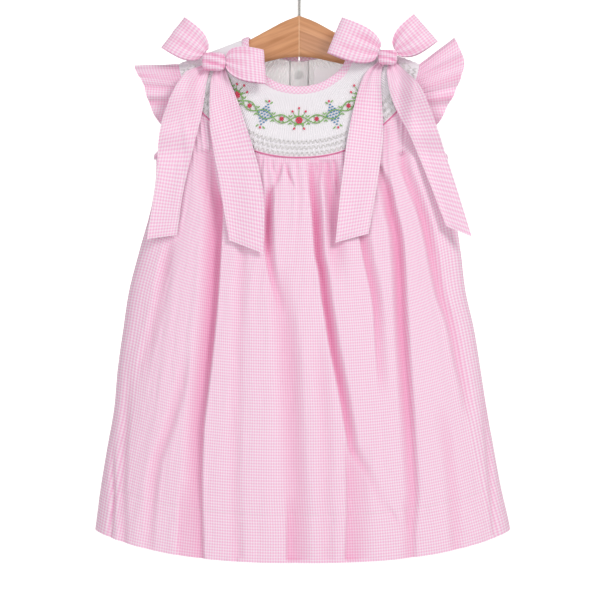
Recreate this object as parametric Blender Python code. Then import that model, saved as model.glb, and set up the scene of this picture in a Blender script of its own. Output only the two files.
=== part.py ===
"""A child's smocked sleeveless dress, hanging on a contoured wooden hanger.

Lengths are in millimetres and become metres where a mesh is made. The origin is the inside top of
the hook, where the rail carries it. +X is the right of the front view, +Y runs to the back, +Z is up.
"""

from math import asin, atan, cos, degrees, hypot, pi, radians, sin, sqrt

import bmesh
import bpy
from mathutils import Vector

MM = 0.001
GAP = 0.3

# Cloth walls.
BODICE_WALL = 1.8
SKIRT_WALL = 2.0
RUFFLE_WALL = 1.8
RIBBON_WALL = 1.3

# The two shoulder lines, which would cross above the neck at height SHOULDER_TOP.
SHOULDER_TOP = -78.0
SHOULDER_SLOPE = 0.40
SHOULDER_ANGLE = degrees(atan(1 / SHOULDER_SLOPE))
SHOULDER_ROUND = 8.5
SHOULDER_BLEND = 40.0

# Hanger.
ARM_REACH = 113.0
ARM_SWEEP = 14.0
WOOD_THICK = 12.0
WOOD_TIP_THICK = 9.5
WOOD_TOP = -75.0
WIRE = 3.4
BORE_DEPTH = 18.0
HOOK_INNER = 19.0

# Columns: distance from the centre, drop of the top edge, drop of the bottom edge.
WOOD = (
    (0.0, 75.0, 121.0),
    (17.5, 82.2, 122.6),
    (36.0, 92.4, 127.0),
    (57.0, 103.8, 132.0),
    (85.0, 115.0, 138.0),
    (104.0, 123.2, 141.0),
    (110.0, 127.0, 140.0),
    (113.0, 131.5, 136.5),
)
WOOD_STATIONS = (0.0, 9.0, 18.0, 27.0, 36.0, 46.0, 57.0, 70.0, 85.0, 97.0, 104.0, 108.0, 111.0, 113.0)
WOOD_SIDES = 14
HOOK_TIP_ANGLE = 208.0
HOOK_LEAVE_ANGLE = -50.0
STEM_TOP = -60.0
STEM_PULL = 12.0

# The dress as a flattened tube. Columns: drop, half width, centre, front depth, back depth.
BODY = (
    (79.0, 178.0, 0.0, 6.0, 4.0),
    (150.0, 172.0, 0.0, 12.0, 6.0),
    (235.0, 161.7, 2.0, 24.0, 10.0),
    (283.0, 167.8, 4.0, 29.0, 13.0),
    (338.0, 179.3, 1.0, 34.0, 15.0),
    (382.0, 187.6, -2.0, 37.0, 17.0),
    (426.0, 195.8, -0.5, 40.0, 19.0),
    (470.0, 202.4, 0.0, 43.0, 20.0),
    (514.0, 207.9, 1.5, 46.0, 22.0),
    (558.0, 215.6, 1.5, 48.0, 23.0),
    (602.0, 223.3, 2.0, 50.0, 24.0),
    (645.0, 231.0, 4.0, 52.0, 25.0),
    (690.0, 238.0, 4.0, 54.0, 26.0),
)
HALF = 1
CENTRE = 2
FRONT = 3
BACK = 4
ARM_STARTS = 150.0
ARM_BLEND = 80.0

# The bib, drawn about the crossing of the shoulder lines. Columns: angle from straight down,
# radius of the neck edge in front, radius of the neck edge behind, radius of the lower seam.
BIB = (
    (0.0, 86.9, 46.0, 158.0),
    (18.0, 86.3, 47.0, 158.2),
    (28.0, 84.6, 48.8, 155.5),
    (38.0, 83.0, 51.5, 152.5),
    (46.0, 79.5, 55.0, 151.3),
    (56.4, 74.5, 60.5, 149.2),
    (68.2, 68.2, 68.2, 143.4),
)
NECK = {FRONT: 1, BACK: 2}
SEAM = 3
SEAM_ANGLE = 56.4
PLEATS = 64
PLEAT_HEIGHT = 0.9
BACK_COLUMNS = (0.0, 0.08, 0.16, 0.24, 0.32, 0.40, 0.48, 0.56, 0.64, 0.72, 0.80, 0.87, 0.92, 0.96, 0.985, 1.0)
BACK_PLEAT = 0.5
BINDING_WIDTH = 9.0
# The neck binding's section: share of its width, distance out of the cloth. Then the angles of its
# sections in front and behind.
BINDING_SHAPE = ((0.0, 0.1), (0.5, 1.0), (1.0, 0.1), (1.0, -1.5), (0.5, -2.0), (0.0, -1.5))
BINDING_FRONT = (0.0, 6.0, 12.0, 19.0, 26.0, 33.0, 40.0, 46.0, 52.0, 57.0, 61.0, 64.0, 66.4, 67.7)
BINDING_BACK = (1.0, 12.0, 23.0, 34.0, 44.0, 52.0, 58.0, 63.0, 66.2, 67.7)
PIPING = 2.4
PLACKET_HALF = 11.0
PLACKET_RISE = 0.8
BUTTON_RADIUS = 5.5
BUTTON_THICK = 2.4
BUTTON_DROPS = (140.0, 175.0, 210.0)
LABEL_SPAN = (18.0, 50.0)
LABEL_DROPS = (132.0, 154.0)
LABEL_THICK = 1.0

# Armhole edge under the bib's corner. Columns: way along it, distance from the centre, drop.
ARMHOLE = (
    (0.0, 124.3, 160.8),
    (0.2, 126.0, 178.0),
    (0.42, 133.1, 195.7),
    (0.65, 141.9, 211.1),
    (0.83, 152.9, 225.4),
    (1.0, 165.0, 234.7),
)
RUFFLE_ENDS = 0.42
BIB_SHARE = 0.46
ARM_CORD = 1.4

# Skirt.
SEAM_SHARE = 0.80
EDGE_SHARE = 0.90
HEM_DROP = 677.5
HEM_RISE = 30.0
HEM_POWER = 2.6
GATHERS = 28
GATHER_HEIGHT = 1.5
GATHER_RUN = 0.26
SKIRT_ROWS = (0.0, 0.03, 0.08, 0.15, 0.24, 0.34, 0.45, 0.57, 0.69, 0.80, 0.90, 1.0)
BACK_ROWS = (0.0, 0.04, 0.12, 0.24, 0.38, 0.54, 0.70, 0.85, 1.0)

# Valleys of the big folds. Columns: place across at the top, at mid height and at the hem (-1 is
# the left side seam), half width, depth at the top, depth at the hem, and where it ends (1 is the hem).
FRONT_FOLDS = (
    (-0.965, -0.960, -0.950, 9.0, 4.0, 3.0, 1.3),
    (-0.755, -0.765, -0.780, 13.0, 6.0, 0.0, 0.42),
    (-0.535, -0.508, -0.485, 16.0, 9.0, 9.0, 1.3),
    (-0.220, -0.095, -0.015, 13.0, 4.0, 5.0, 1.3),
    (0.080, 0.200, 0.290, 16.0, 6.0, 10.0, 1.3),
    (0.235, 0.425, 0.355, 14.0, 5.0, 4.0, 1.3),
    (0.590, 0.592, 0.545, 17.0, 8.0, 10.0, 1.3),
    (0.865, 0.880, 0.820, 15.0, 5.0, 5.0, 1.3),
)
BACK_FOLDS = (
    (-0.880, -0.860, -0.840, 15.0, 4.0, 5.0, 1.3),
    (-0.560, -0.600, -0.620, 17.0, 6.0, 8.0, 1.3),
    (-0.250, -0.230, -0.270, 15.0, 4.0, 6.0, 1.3),
    (0.060, 0.030, 0.050, 16.0, 5.0, 8.0, 1.3),
    (0.330, 0.390, 0.410, 15.0, 5.0, 6.0, 1.3),
    (0.700, 0.660, 0.680, 17.0, 6.0, 7.0, 1.3),
    (0.900, 0.920, 0.900, 12.0, 3.0, 4.0, 1.3),
)

# Flutter sleeves.
RUFFLE_DEPTH = 49.0
RUFFLE_TAPER = 0.62
RUFFLE_WAVES = 10
RUFFLE_WAVE = 3.2
RUFFLE_LIFT = {-1: 9.0, 1: 25.0}
RUFFLE_FALL = 14.0
RUFFLE_SPLAY = 14.0

# Bows. A loop's corners are the upper and lower ends of its edge at the knot, then those of its
# outer fold. A tail's rows are left distance and drop, right distance and drop.
KNOT_THICK = 13.0
KNOT_SQUARE = 0.75
LOOP_THICK = 6.5
LOOP_TURN = 158.0
LOOP_CREASE = 1.2
TAIL_LIFT = 1.4
TAIL_RISE = 2.4
TAIL_FOLD = 1.6
RUFFLE_CLEARANCE = 11.0
BOWS = {
    "bow_left": {
        "knot": (-93.5, -130.8, 13.0, 11.0),
        "loop_left": ((-100.3, -117.0), (-107.9, -126.1), (-125.4, -82.4), (-150.7, -115.4)),
        "loop_right": ((-79.8, -124.2), (-79.8, -137.4), (-39.6, -118.0), (-36.7, -155.0)),
        "tail_left": (
            (-104.0, 132.0, -95.0, 132.0),
            (-128.0, 148.0, -101.0, 150.0),
            (-151.8, 201.2, -107.8, 190.2),
            (-157.7, 262.8, -126.5, 268.3),
            (-167.2, 325.5, -134.2, 321.1),
        ),
        "tail_right": (
            (-92.0, 133.0, -83.0, 133.0),
            (-97.5, 156.0, -76.0, 152.0),
            (-97.9, 201.2, -61.9, 190.2),
            (-87.5, 262.8, -40.0, 267.2),
            (-76.5, 327.1, -38.5, 342.0),
        ),
    },
    "bow_right": {
        "knot": (97.4, -125.8, 10.6, 9.0),
        "loop_left": ((89.8, -113.2), (84.3, -127.2), (47.7, -82.3), (31.5, -120.9)),
        "loop_right": ((103.7, -114.2), (109.4, -123.0), (125.8, -78.8), (151.6, -108.5)),
        "tail_left": (
            (88.5, 128.0, 96.0, 128.0),
            (70.0, 148.0, 90.0, 148.0),
            (55.0, 204.5, 92.4, 208.9),
            (46.8, 262.8, 85.8, 262.8),
            (39.6, 329.9, 75.9, 320.0),
        ),
        "tail_right": (
            (98.5, 128.0, 106.0, 128.0),
            (97.0, 146.0, 118.0, 143.0),
            (103.4, 174.8, 137.0, 168.0),
            (130.9, 232.0, 162.8, 235.3),
            (161.7, 311.2, 190.0, 323.3),
        ),
    },
}

# Colours as seen, roughness and metallic value.
LOOKS = {
    "gingham": ("F5D1E3", 0.85, 0.0),
    "bib_cloth": ("F1EDF2", 0.85, 0.0),
    "ribbon": ("FAD7E8", 0.80, 0.0),
    "wood": ("C8906C", 0.45, 0.0),
    "steel": ("B9B6B2", 0.30, 1.0),
    "button": ("F4F1EC", 0.35, 0.0),
}


def clamp(value, low=0.0, high=1.0):
    return min(max(value, low), high)


def smooth(value):
    value = clamp(value)
    return value * value * (3 - 2 * value)


def mix(low, high, share):
    return low + (high - low) * share


def read(rows, place, column):
    """Read one column of a table on a smooth curve through its rows."""
    last = len(rows) - 1
    place = clamp(place, rows[0][0], rows[last][0])
    row = 0
    while row < last - 1 and place > rows[row + 1][0]:
        row += 1
    step = rows[row + 1][0] - rows[row][0]
    rise = rows[row + 1][column] - rows[row][column]
    share = (place - rows[row][0]) / step
    bend = []
    for middle in (row, row + 1):
        low = rows[max(middle - 1, 0)]
        high = rows[min(middle + 1, last)]
        bend.append((high[column] - low[column]) / (high[0] - low[0]) * step)
    lean = (bend[0] - rise) * (1 - share) + (rise - bend[1]) * share
    return rows[row][column] + rise * share + share * (1 - share) * lean


def colour(code):
    """Turn a hex colour as seen into the linear values that a material holds."""
    shades = [int(code[k:k + 2], 16) / 255 for k in (0, 2, 4)]
    return [((s + 0.055) / 1.055) ** 2.4 if s > 0.04045 else s / 12.92 for s in shades] + [1.0]


def material(name, look):
    made = bpy.data.materials.new(name)
    made.use_nodes = True
    surface = made.node_tree.nodes["Principled BSDF"]
    code, roughness, metallic = LOOKS[look]
    surface.inputs["Base Color"].default_value = colour(code)
    surface.inputs["Roughness"].default_value = roughness
    surface.inputs["Metallic"].default_value = metallic
    return made


def finish(name, bm, look):
    """Make a closed, outward-facing, smoothly shaded object of a bmesh."""
    bmesh.ops.recalc_face_normals(bm, faces=bm.faces[:])
    if bm.calc_volume(signed=True) < 0:
        bmesh.ops.reverse_faces(bm, faces=bm.faces[:])
    mesh = bpy.data.meshes.new(name)
    bm.to_mesh(mesh)
    bm.free()
    mesh.shade_smooth()
    mesh.set_sharp_from_angle(angle=radians(50))
    mesh.materials.append(material(name, look))
    made = bpy.data.objects.new(name, mesh)
    bpy.context.scene.collection.objects.link(made)
    return made


def cloth(name, across, along, place, look):
    """Shape a grid into a thin solid. place(u, v, inside) gives a point of its outer or inner face."""
    columns = len(across) - 1
    rows = len(along) - 1
    bm = bmesh.new()
    column = bm.verts.layers.int.new("column")
    row = bm.verts.layers.int.new("row")
    bmesh.ops.create_grid(bm, x_segments=columns, y_segments=rows, size=0.5)
    for vert in bm.verts:
        vert[column] = round((vert.co.x + 0.5) * columns)
        vert[row] = round((vert.co.y + 0.5) * rows)
    grown = bmesh.ops.extrude_face_region(bm, geom=bm.faces[:], use_keep_orig=True)
    hidden = {item for item in grown["geom"] if isinstance(item, bmesh.types.BMVert)}
    for vert in bm.verts:
        inside = vert in hidden
        vert.co = place(across[vert[column]], along[vert[row]], inside) * MM
    return finish(name, bm, look)


def loft(name, rings, look):
    """Skin rings of points in order along a path and fill both ends."""
    bm = bmesh.new()
    loops = [[bm.verts.new(point * MM) for point in ring] for ring in rings]
    sides = len(loops[0])
    for near, far in zip(loops, loops[1:]):
        for side in range(sides):
            after = (side + 1) % sides
            bm.faces.new((near[side], near[after], far[after], far[side]))
    bm.faces.new(loops[0])
    bm.faces.new(loops[-1])
    return finish(name, bm, look)


def steps(count, low=0.0, high=1.0):
    return [mix(low, high, k / count) for k in range(count + 1)]


def below_shoulder(x, z):
    """Distance of a point of the front view under the shoulder line."""
    return (SHOULDER_TOP - SHOULDER_SLOPE * abs(x) - z) / hypot(1, SHOULDER_SLOPE)


def sweep(x, z):
    """How far the arms of the hanger carry the cloth forward."""
    fade = 1 - smooth((below_shoulder(x, z) - 15) / 55)
    return -ARM_SWEEP * (abs(x) / ARM_REACH) ** 1.15 * fade


def spread(x, z, side):
    """Depth of one side of the dress from its middle plane, before the shoulder is rounded."""
    drop = -z
    share = clamp(abs(x - read(BODY, drop, CENTRE)) / read(BODY, drop, HALF))
    roundness = (1 - share ** 2) ** 0.42
    edge = roundness ** smooth((drop - ARM_STARTS) / ARM_BLEND)
    chest = smooth(below_shoulder(x, z) / SHOULDER_BLEND)
    return SHOULDER_ROUND * edge + read(BODY, drop, side) * roundness * chest


def facing(side):
    return -1 if side == FRONT else 1


def middle(x, z, side):
    """Y of one side of the dress, before the shoulder is rounded."""
    return sweep(x, z) + facing(side) * (spread(x, z, side) + GAP / 2)


def shoulder_turn(x, z):
    """1 on the shoulder line, 0 where the cloth has turned over the hanger's arm."""
    return 1 - clamp(below_shoulder(x, z) / SHOULDER_ROUND)


def normal(x, z, side):
    step = 0.5
    turn = shoulder_turn(x, z)
    flat = sqrt(1 - turn ** 2)
    lean_x = (middle(x + step, z, side) - middle(x - step, z, side)) / (2 * step)
    lean_z = (middle(x, z + step, side) - middle(x, z - step, side)) / (2 * step)
    way = facing(side)
    slope = SHOULDER_SLOPE * turn * (1 if x > 0 else -1)
    return Vector((slope - way * lean_x * flat, way * flat, turn - way * lean_z * flat)).normalized()


def on_body(x, z, side, out=0.0):
    """A point of the dress, moved out of its surface."""
    turn = shoulder_turn(x, z)
    rounding = SHOULDER_ROUND * (1 - sqrt(1 - turn ** 2))
    y = middle(x, z, side) - facing(side) * rounding
    return Vector((x, y, z)) + normal(x, z, side) * out


def polar(angle, radius):
    """A place of the front view, by its angle from straight down and its radius."""
    return radius * sin(radians(angle)), SHOULDER_TOP - radius * cos(radians(angle))


def on_bib(angle, radius, side, out=0.0):
    x, z = polar(angle, radius)
    return on_body(x, z, side, out)


# Bodice


def bib_front():
    """The pleated, smocked bib: ridges on its outer face over a plain inside."""
    columns = 2 * PLEATS

    def place(u, v, inside):
        angle = u * SHOULDER_ANGLE
        neck = read(BIB, abs(angle), NECK[FRONT]) + GAP
        seam = read(BIB, abs(angle), SEAM)
        crest = round((u + 1) / 2 * columns) % 2
        ridge = PLEAT_HEIGHT * crest * smooth(6 * v) * smooth(8 * (1 - v))
        return on_bib(angle, mix(neck, seam, v), FRONT, -BODICE_WALL if inside else ridge)

    rows = (0.0, 0.1, 0.45, 0.9, 1.0)
    cloth("yoke_front", steps(columns, -1, 1), rows, place, "bib_cloth")


def bib_back(name, hand):
    """One half of the back bodice, from the placket to the shoulder and the armhole."""
    def place(u, v, inside):
        angle = u * SHOULDER_ANGLE
        for _ in range(3):
            neck = read(BIB, angle, NECK[BACK]) + GAP
            radius = mix(neck, read(BIB, angle, SEAM), v)
            start = degrees(asin((PLACKET_HALF + GAP) / radius))
            angle = mix(start, SHOULDER_ANGLE, u)
        crest = BACK_COLUMNS.index(u) % 2
        ridge = BACK_PLEAT * crest * smooth(5 * v) * smooth(5 * (1 - v)) * smooth(5 * (1 - u))
        return on_bib(hand * angle, radius, BACK, -BODICE_WALL if inside else ridge)

    rows = (0.0, 0.2, 0.5, 0.8, 1.0)
    cloth(name, BACK_COLUMNS, rows, place, "bib_cloth")


def placket():
    top = read(BIB, 0, NECK[BACK]) + GAP - SHOULDER_TOP + 1.2
    bottom = read(BIB, 0, SEAM) - SHOULDER_TOP - 1.0

    def place(u, v, inside):
        out = -BODICE_WALL if inside else PLACKET_RISE
        return on_body(u * PLACKET_HALF, -mix(top, bottom, v), BACK, out)

    cloth("back_placket", steps(2, -1, 1), steps(8), place, "bib_cloth")


def button(name, drop):
    bm = bmesh.new()
    bmesh.ops.create_cone(
        bm, cap_ends=True, segments=16, radius1=BUTTON_RADIUS, radius2=BUTTON_RADIUS, depth=BUTTON_THICK
    )
    rims = [edge for edge in bm.edges if abs(edge.verts[0].co.z - edge.verts[1].co.z) < 0.1]
    bmesh.ops.bevel(bm, geom=rims, offset=0.6, segments=1, profile=0.5, material=-1, affect="EDGES")
    seat = on_body(0, -drop, BACK, PLACKET_RISE + 0.5 + BUTTON_THICK / 2)
    turn = normal(0, -drop, BACK).to_track_quat("Z", "Y")
    for vert in bm.verts:
        vert.co = (turn @ vert.co + seat) * MM
    finish(name, bm, "button")


def label():
    def place(u, v, inside):
        out = -BODICE_WALL - GAP - (LABEL_THICK if inside else 0)
        return on_body(mix(*LABEL_SPAN, u), -mix(*LABEL_DROPS, v), BACK, out)

    cloth("label", steps(4), steps(3), place, "bib_cloth")


def neck_binding():
    """The folded band on the neck edge, open at the centre back."""
    path = [(-angle, BACK) for angle in BINDING_BACK]
    path += [(-SHOULDER_ANGLE, FRONT)]
    path += [(-angle, FRONT) for angle in reversed(BINDING_FRONT)]
    path += [(angle, FRONT) for angle in BINDING_FRONT[1:]]
    path += [(SHOULDER_ANGLE, FRONT)]
    path += [(angle, BACK) for angle in reversed(BINDING_BACK)]
    rings = []
    for angle, side in path:
        neck = read(BIB, abs(angle), NECK[side])
        rings.append([on_bib(angle, neck - BINDING_WIDTH * share, side, out) for share, out in BINDING_SHAPE])
    loft("neck_binding", rings, "gingham")


def bead(name, centres, radius, sides, look):
    """A round bead of cloth along a path."""
    rings = []
    first = None
    for k, centre in enumerate(centres):
        along = (centres[min(k + 1, len(centres) - 1)] - centres[max(k - 1, 0)]).normalized()
        if first is None:
            first = along.orthogonal().normalized()
        first = (first - along * first.dot(along)).normalized()
        second = along.cross(first)
        turns = [2 * pi * side / sides for side in range(sides)]
        rings.append([centre + (first * cos(turn) + second * sin(turn)) * radius for turn in turns])
    loft(name, rings, look)


def bib_piping():
    """The fine piping that lies over the seam of bib and skirt."""
    out = GAP + PIPING / 2
    centres = []
    for angle in steps(44, -SEAM_ANGLE + 1, SEAM_ANGLE - 1):
        centres.append(on_bib(angle, read(BIB, abs(angle), SEAM) + GAP / 2, FRONT, out))
    bead("yoke_piping", centres, PIPING / 2, 5, "gingham")


# Skirt


def armhole(way, hand):
    """A place on the armhole's edge, from the bib's corner down to the side seam."""
    drop = read(ARMHOLE, way, 2)
    centre = read(BODY, drop, CENTRE)
    half = read(BODY, drop, HALF)
    x = hand * read(ARMHOLE, way, 1) + centre * smooth(way)
    return clamp(x, centre - half, centre + half), -drop


def skirt_top(u):
    """Top edge of the skirt: the bib's seam, then the armhole down to the side seam."""
    if abs(u) <= SEAM_SHARE:
        angle = u / SEAM_SHARE * SEAM_ANGLE
        return polar(angle, read(BIB, abs(angle), SEAM) + GAP)
    return armhole((abs(u) - SEAM_SHARE) / (1 - SEAM_SHARE), 1 if u > 0 else -1)


def across_hem(u):
    """Share of the half width at the hem, evenly spaced round the curve of the side."""
    if abs(u) <= EDGE_SHARE:
        return u
    start = asin(EDGE_SHARE)
    turn = mix(start, pi / 2, (abs(u) - EDGE_SHARE) / (1 - EDGE_SHARE))
    return sin(turn) if u > 0 else -sin(turn)


def fold_depth(u, v, folds):
    """How deep the big folds lie under the smooth form, at one place of a panel."""
    depth = 0.0
    for top, mid, hem, half, deep_top, deep_hem, ends in folds:
        lane = mix(top, mid, smooth(2 * v)) if v < 0.5 else mix(mid, hem, smooth(2 * v - 1))
        reach = half / mix(165, 232, v)
        share = (u - lane) / reach
        if abs(share) < 1:
            strength = mix(deep_top, deep_hem, v) * smooth(8 * v + 0.1) * smooth((ends - v) * 5)
            depth += strength * (1 - share ** 2) ** 2
    return depth


def gather_height(u, v, columns):
    """The small gathers under the bib's seam, each with its own length."""
    if abs(u) > SEAM_SHARE:
        return 0.0
    number = round((u + SEAM_SHARE) / (2 * SEAM_SHARE) * GATHERS * columns)
    gather, part = divmod(number, columns)
    run = GATHER_RUN * (1 + 0.45 * sin(2.4 * gather))
    crest = 1.0 if part == 1 else -0.35
    return GATHER_HEIGHT * crest * smooth(v / 0.03) * clamp(1 - v / run) ** 1.5


def skirt(name, side, folds, columns, rows):
    """One gathered panel, from the bib's seam and the armholes to the hem."""
    inner = steps(GATHERS * columns, -SEAM_SHARE, SEAM_SHARE)
    outer = steps(8, SEAM_SHARE, 1)[1:]
    across = [-u for u in reversed(outer)] + inner + outer

    def place(u, v, inside):
        top_x, top_z = skirt_top(u)
        top_share = (top_x - read(BODY, -top_z, CENTRE)) / read(BODY, -top_z, HALF)
        hem_share = across_hem(u)
        share = mix(clamp(top_share, -1, 1), hem_share, v)
        hem_z = -(HEM_DROP - HEM_RISE * abs(hem_share) ** HEM_POWER)
        z = mix(top_z, hem_z, v)
        x = read(BODY, -z, CENTRE) + share * read(BODY, -z, HALF)
        face = normal(x, z, side)
        face.y *= 1 - smooth((abs(share) - 0.96) / 0.04)
        face.normalize()
        out = gather_height(u, v, columns) - fold_depth(u, v, folds)
        return on_body(x, z, side) + face * (out - (SKIRT_WALL if inside else 0))

    cloth(name, across, rows, place, "gingham")


# Armholes


def arm_edge(t, hand):
    """The armhole's edge: 0 is the shoulder, -1 the low front end, 1 the low back end."""
    side = FRONT if t < 0 else BACK
    if abs(t) < BIB_SHARE:
        angle = mix(SHOULDER_ANGLE, SEAM_ANGLE, abs(t) / BIB_SHARE)
        return on_bib(hand * angle, read(BIB, angle, SEAM), side, -BODICE_WALL / 2)
    x, z = armhole((abs(t) - BIB_SHARE) / (1 - BIB_SHARE) * RUFFLE_ENDS, hand)
    return on_body(x, z, side, -BODICE_WALL / 2)


def ruffle(name, hand):
    """A flutter sleeve: gathered on the armhole's edge, waving freely at its outer edge."""
    columns = 4 * RUFFLE_WAVES

    def place(u, v, inside):
        t = 2 * u - 1
        root = arm_edge(t, hand)
        along = (arm_edge(min(t + 0.02, 1), hand) - arm_edge(max(t - 0.02, -1), hand)).normalized()
        lift = radians(mix(RUFFLE_LIFT[hand], -RUFFLE_FALL, t ** 2))
        splay = radians(RUFFLE_SPLAY) * smooth(3 * t)
        out = Vector((hand * cos(lift) * cos(splay), sin(splay), sin(lift) * cos(splay)))
        face = along.cross(out).normalized()
        wave = RUFFLE_WAVE * sin(2 * pi * RUFFLE_WAVES * u + 0.6) * v ** 0.8
        depth = RUFFLE_DEPTH * (1 - RUFFLE_TAPER * abs(t) ** 3) * v + 3 * GAP
        wall = RUFFLE_WALL / 2 * (-1 if inside else 1)
        return root + out * depth + face * (wave + wall)

    cloth(name, steps(columns), (0.0, 0.35, 0.7, 1.0), place, "gingham")


def arm_binding(name, hand):
    """The rolled edge under the arm, from the flutter sleeve's front end to its back end."""
    centres = []
    ways = steps(8, RUFFLE_ENDS + 0.06, 0.93)
    path = [(way, FRONT) for way in ways] + [(1.0, FRONT)] + [(way, BACK) for way in reversed(ways)]
    for way, side in path:
        x, z = armhole(way, hand)
        before_x, before_z = armhole(way - 0.05, hand)
        ahead = Vector((x - before_x, 0, z - before_z)).normalized()
        off = Vector((-hand * ahead.z, 0, hand * ahead.x)) * (ARM_CORD + 2 * GAP)
        seat = on_body(x, z, side)
        seat.y -= facing(side) * SKIRT_WALL / 2 * (1 - smooth((way - 0.8) / 0.2))
        centres.append(seat + off)
    bead(name, centres, ARM_CORD, 6, "gingham")


# Bows


def front_plane(x, z):
    """Y of the front of the dress, carried on straight past its sides."""
    centre = read(BODY, -z, CENTRE)
    limit = 0.8 * read(BODY, -z, HALF)
    return on_body(clamp(x, centre - limit, centre + limit), z, FRONT).y


def knot_back(place):
    """Y of the back of a knot, which sits on the tails."""
    x, z, _, half_height = place
    return front_plane(x, z - 0.48 * half_height) - TAIL_LIFT - RIBBON_WALL - GAP


def knot(name, place):
    """The short band drawn tight round the middle of a bow."""
    x, z, half_width, half_height = place
    bm = bmesh.new()
    bmesh.ops.create_uvsphere(bm, u_segments=14, v_segments=8, radius=1.0)
    back = knot_back(place)
    size = Vector((half_width, KNOT_THICK / 2, half_height))
    for vert in bm.verts:
        point = Vector([(1 if c > 0 else -1) * abs(c) ** KNOT_SQUARE for c in vert.co])
        pinch = 1 - 0.10 * cos(6 * point.x) * abs(point.y)
        vert.co = Vector((
            x + point.x * size.x,
            back - size.y + point.y * size.y * pinch,
            z + point.z * size.z,
        )) * MM
    finish(name, bm, "ribbon")


def loop(name, corners, knot_place):
    """A ribbon loop: out from the knot, round its fold and back, with creases from the knot."""
    inner_high, inner_low, outer_high, outer_low = [Vector((x, 0, z)) for x, z in corners]
    level = knot_back(knot_place) - KNOT_THICK / 2
    turns = steps(14, -radians(LOOP_TURN), radians(LOOP_TURN))

    def section(turn):
        reach = (1 + cos(turn)) / 2
        start = (1 + cos(radians(LOOP_TURN))) / 2
        length = (reach - start) / (1 - start)
        return length, LOOP_THICK * sin(turn) * max(reach, 0) ** 0.30 + 0.5 * sin(turn / 2)

    def place(turn, v, inside):
        length, height = section(turn)
        ahead, rise = section(turn + 0.05)
        run = (outer_high + outer_low - inner_high - inner_low).length / 2
        tangent = Vector(((ahead - length) * run, rise - height)).normalized()
        edge = mix(mix(inner_high, outer_high, length), mix(inner_low, outer_low, length), v)
        way = (mix(outer_high, outer_low, v) - mix(inner_high, inner_low, v)).normalized()
        crease = LOOP_CREASE * (1 - length) * cos(3 * pi * v)
        off = 0 if inside else RIBBON_WALL
        return edge + Vector((0, level + height + crease, 0)) + (
            way * tangent.y + Vector((0, -tangent.x, 0))) * off

    cloth(name, turns, steps(3), place, "ribbon")


def tail(name, rows):
    """A ribbon tail lying down the front of the dress, clear of the flutter sleeve's front."""
    table = [(k,) + row for k, row in enumerate(rows)]

    def place(u, v, inside):
        spot = v * (len(rows) - 1)
        left = Vector((read(table, spot, 1), 0, -read(table, spot, 2)))
        right = Vector((read(table, spot, 3), 0, -read(table, spot, 4)))
        point = mix(left, right, u)
        lift = TAIL_LIFT + TAIL_RISE * smooth(4 * v - 0.4)
        lift += TAIL_FOLD * smooth(3 * v - 0.3) * (1 - cos(2 * pi * u + 5 * v)) / 2
        lift += RUFFLE_CLEARANCE * smooth((abs(point.x) - 108) / 18) * smooth((point.z + 235) / 30)
        off = 0 if inside else RIBBON_WALL
        return point + Vector((0, front_plane(point.x, point.z) - lift - off, 0))

    cloth(name, steps(3), steps(12), place, "ribbon")


def bows():
    for name, sizes in BOWS.items():
        knot(name + "_knot", sizes["knot"])
        for hand in ("left", "right"):
            loop(name + "_loop_" + hand, sizes["loop_" + hand], sizes["knot"])
            tail(name + "_tail_" + hand, sizes["tail_" + hand])


# Hanger


def hanger_wood():
    """The contoured wooden body, its arms swept forward from a crease at the centre."""
    stations = {hand * x for x in WOOD_STATIONS for hand in (-1, 1)}
    rings = []
    for x in sorted(stations):
        top = read(WOOD, abs(x), 1)
        bottom = read(WOOD, abs(x), 2)
        thick = mix(WOOD_THICK, WOOD_TIP_THICK, abs(x) / ARM_REACH)
        thick *= sqrt(clamp(1.06 - clamp((abs(x) - 100) / 13) ** 2))
        middle_y = -ARM_SWEEP * (abs(x) / ARM_REACH) ** 1.15
        ring = []
        for k in range(WOOD_SIDES):
            turn = 2 * pi * (k + 0.5) / WOOD_SIDES
            y = abs(cos(turn)) ** 0.75 * (1 if cos(turn) > 0 else -1)
            z = abs(sin(turn)) ** 0.75 * (1 if sin(turn) > 0 else -1)
            ring.append(Vector((x, middle_y + y * thick / 2, -(top + bottom) / 2 + z * (bottom - top) / 2)))
        rings.append(ring)
    wood = loft("hanger_wood", rings, "wood")

    bore = bmesh.new()
    radius = (WIRE / 2 + GAP) * MM
    bmesh.ops.create_cone(bore, cap_ends=True, segments=16, radius1=radius, radius2=radius, depth=2 * BORE_DEPTH * MM)
    mesh = bpy.data.meshes.new("bore_cutter")
    bore.to_mesh(mesh)
    bore.free()
    cutter = bpy.data.objects.new("bore_cutter", mesh)
    cutter.location.z = WOOD_TOP * MM
    cutter.hide_render = True
    cutter.display_type = "WIRE"
    bpy.context.scene.collection.objects.link(cutter)
    cut = wood.modifiers.new("bore", "BOOLEAN")
    cut.object = cutter
    cut.operation = "DIFFERENCE"


def hanger_hook():
    """The wire hook: its tip, the round of the hook, and the stem down into the bore."""
    radius = HOOK_INNER + WIRE / 2
    centre = -HOOK_INNER
    centres = []
    for turn in steps(18, radians(HOOK_TIP_ANGLE), radians(HOOK_LEAVE_ANGLE)):
        centres.append(Vector((radius * cos(turn), 0, centre + radius * sin(turn))))
    leave = centres[-1]
    heading = (centres[-1] - centres[-2]).normalized()
    arrive = Vector((0, 0, STEM_TOP))
    for share in steps(7)[1:]:
        first = leave + heading * STEM_PULL
        second = arrive + Vector((0, 0, STEM_PULL))
        a, b, c = mix(leave, first, share), mix(first, second, share), mix(second, arrive, share)
        centres.append(mix(mix(a, b, share), mix(b, c, share), share))
    centres.append(Vector((0, 0, WOOD_TOP - BORE_DEPTH + GAP)))
    bead("hanger_hook", centres, WIRE / 2, 8, "steel")


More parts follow.
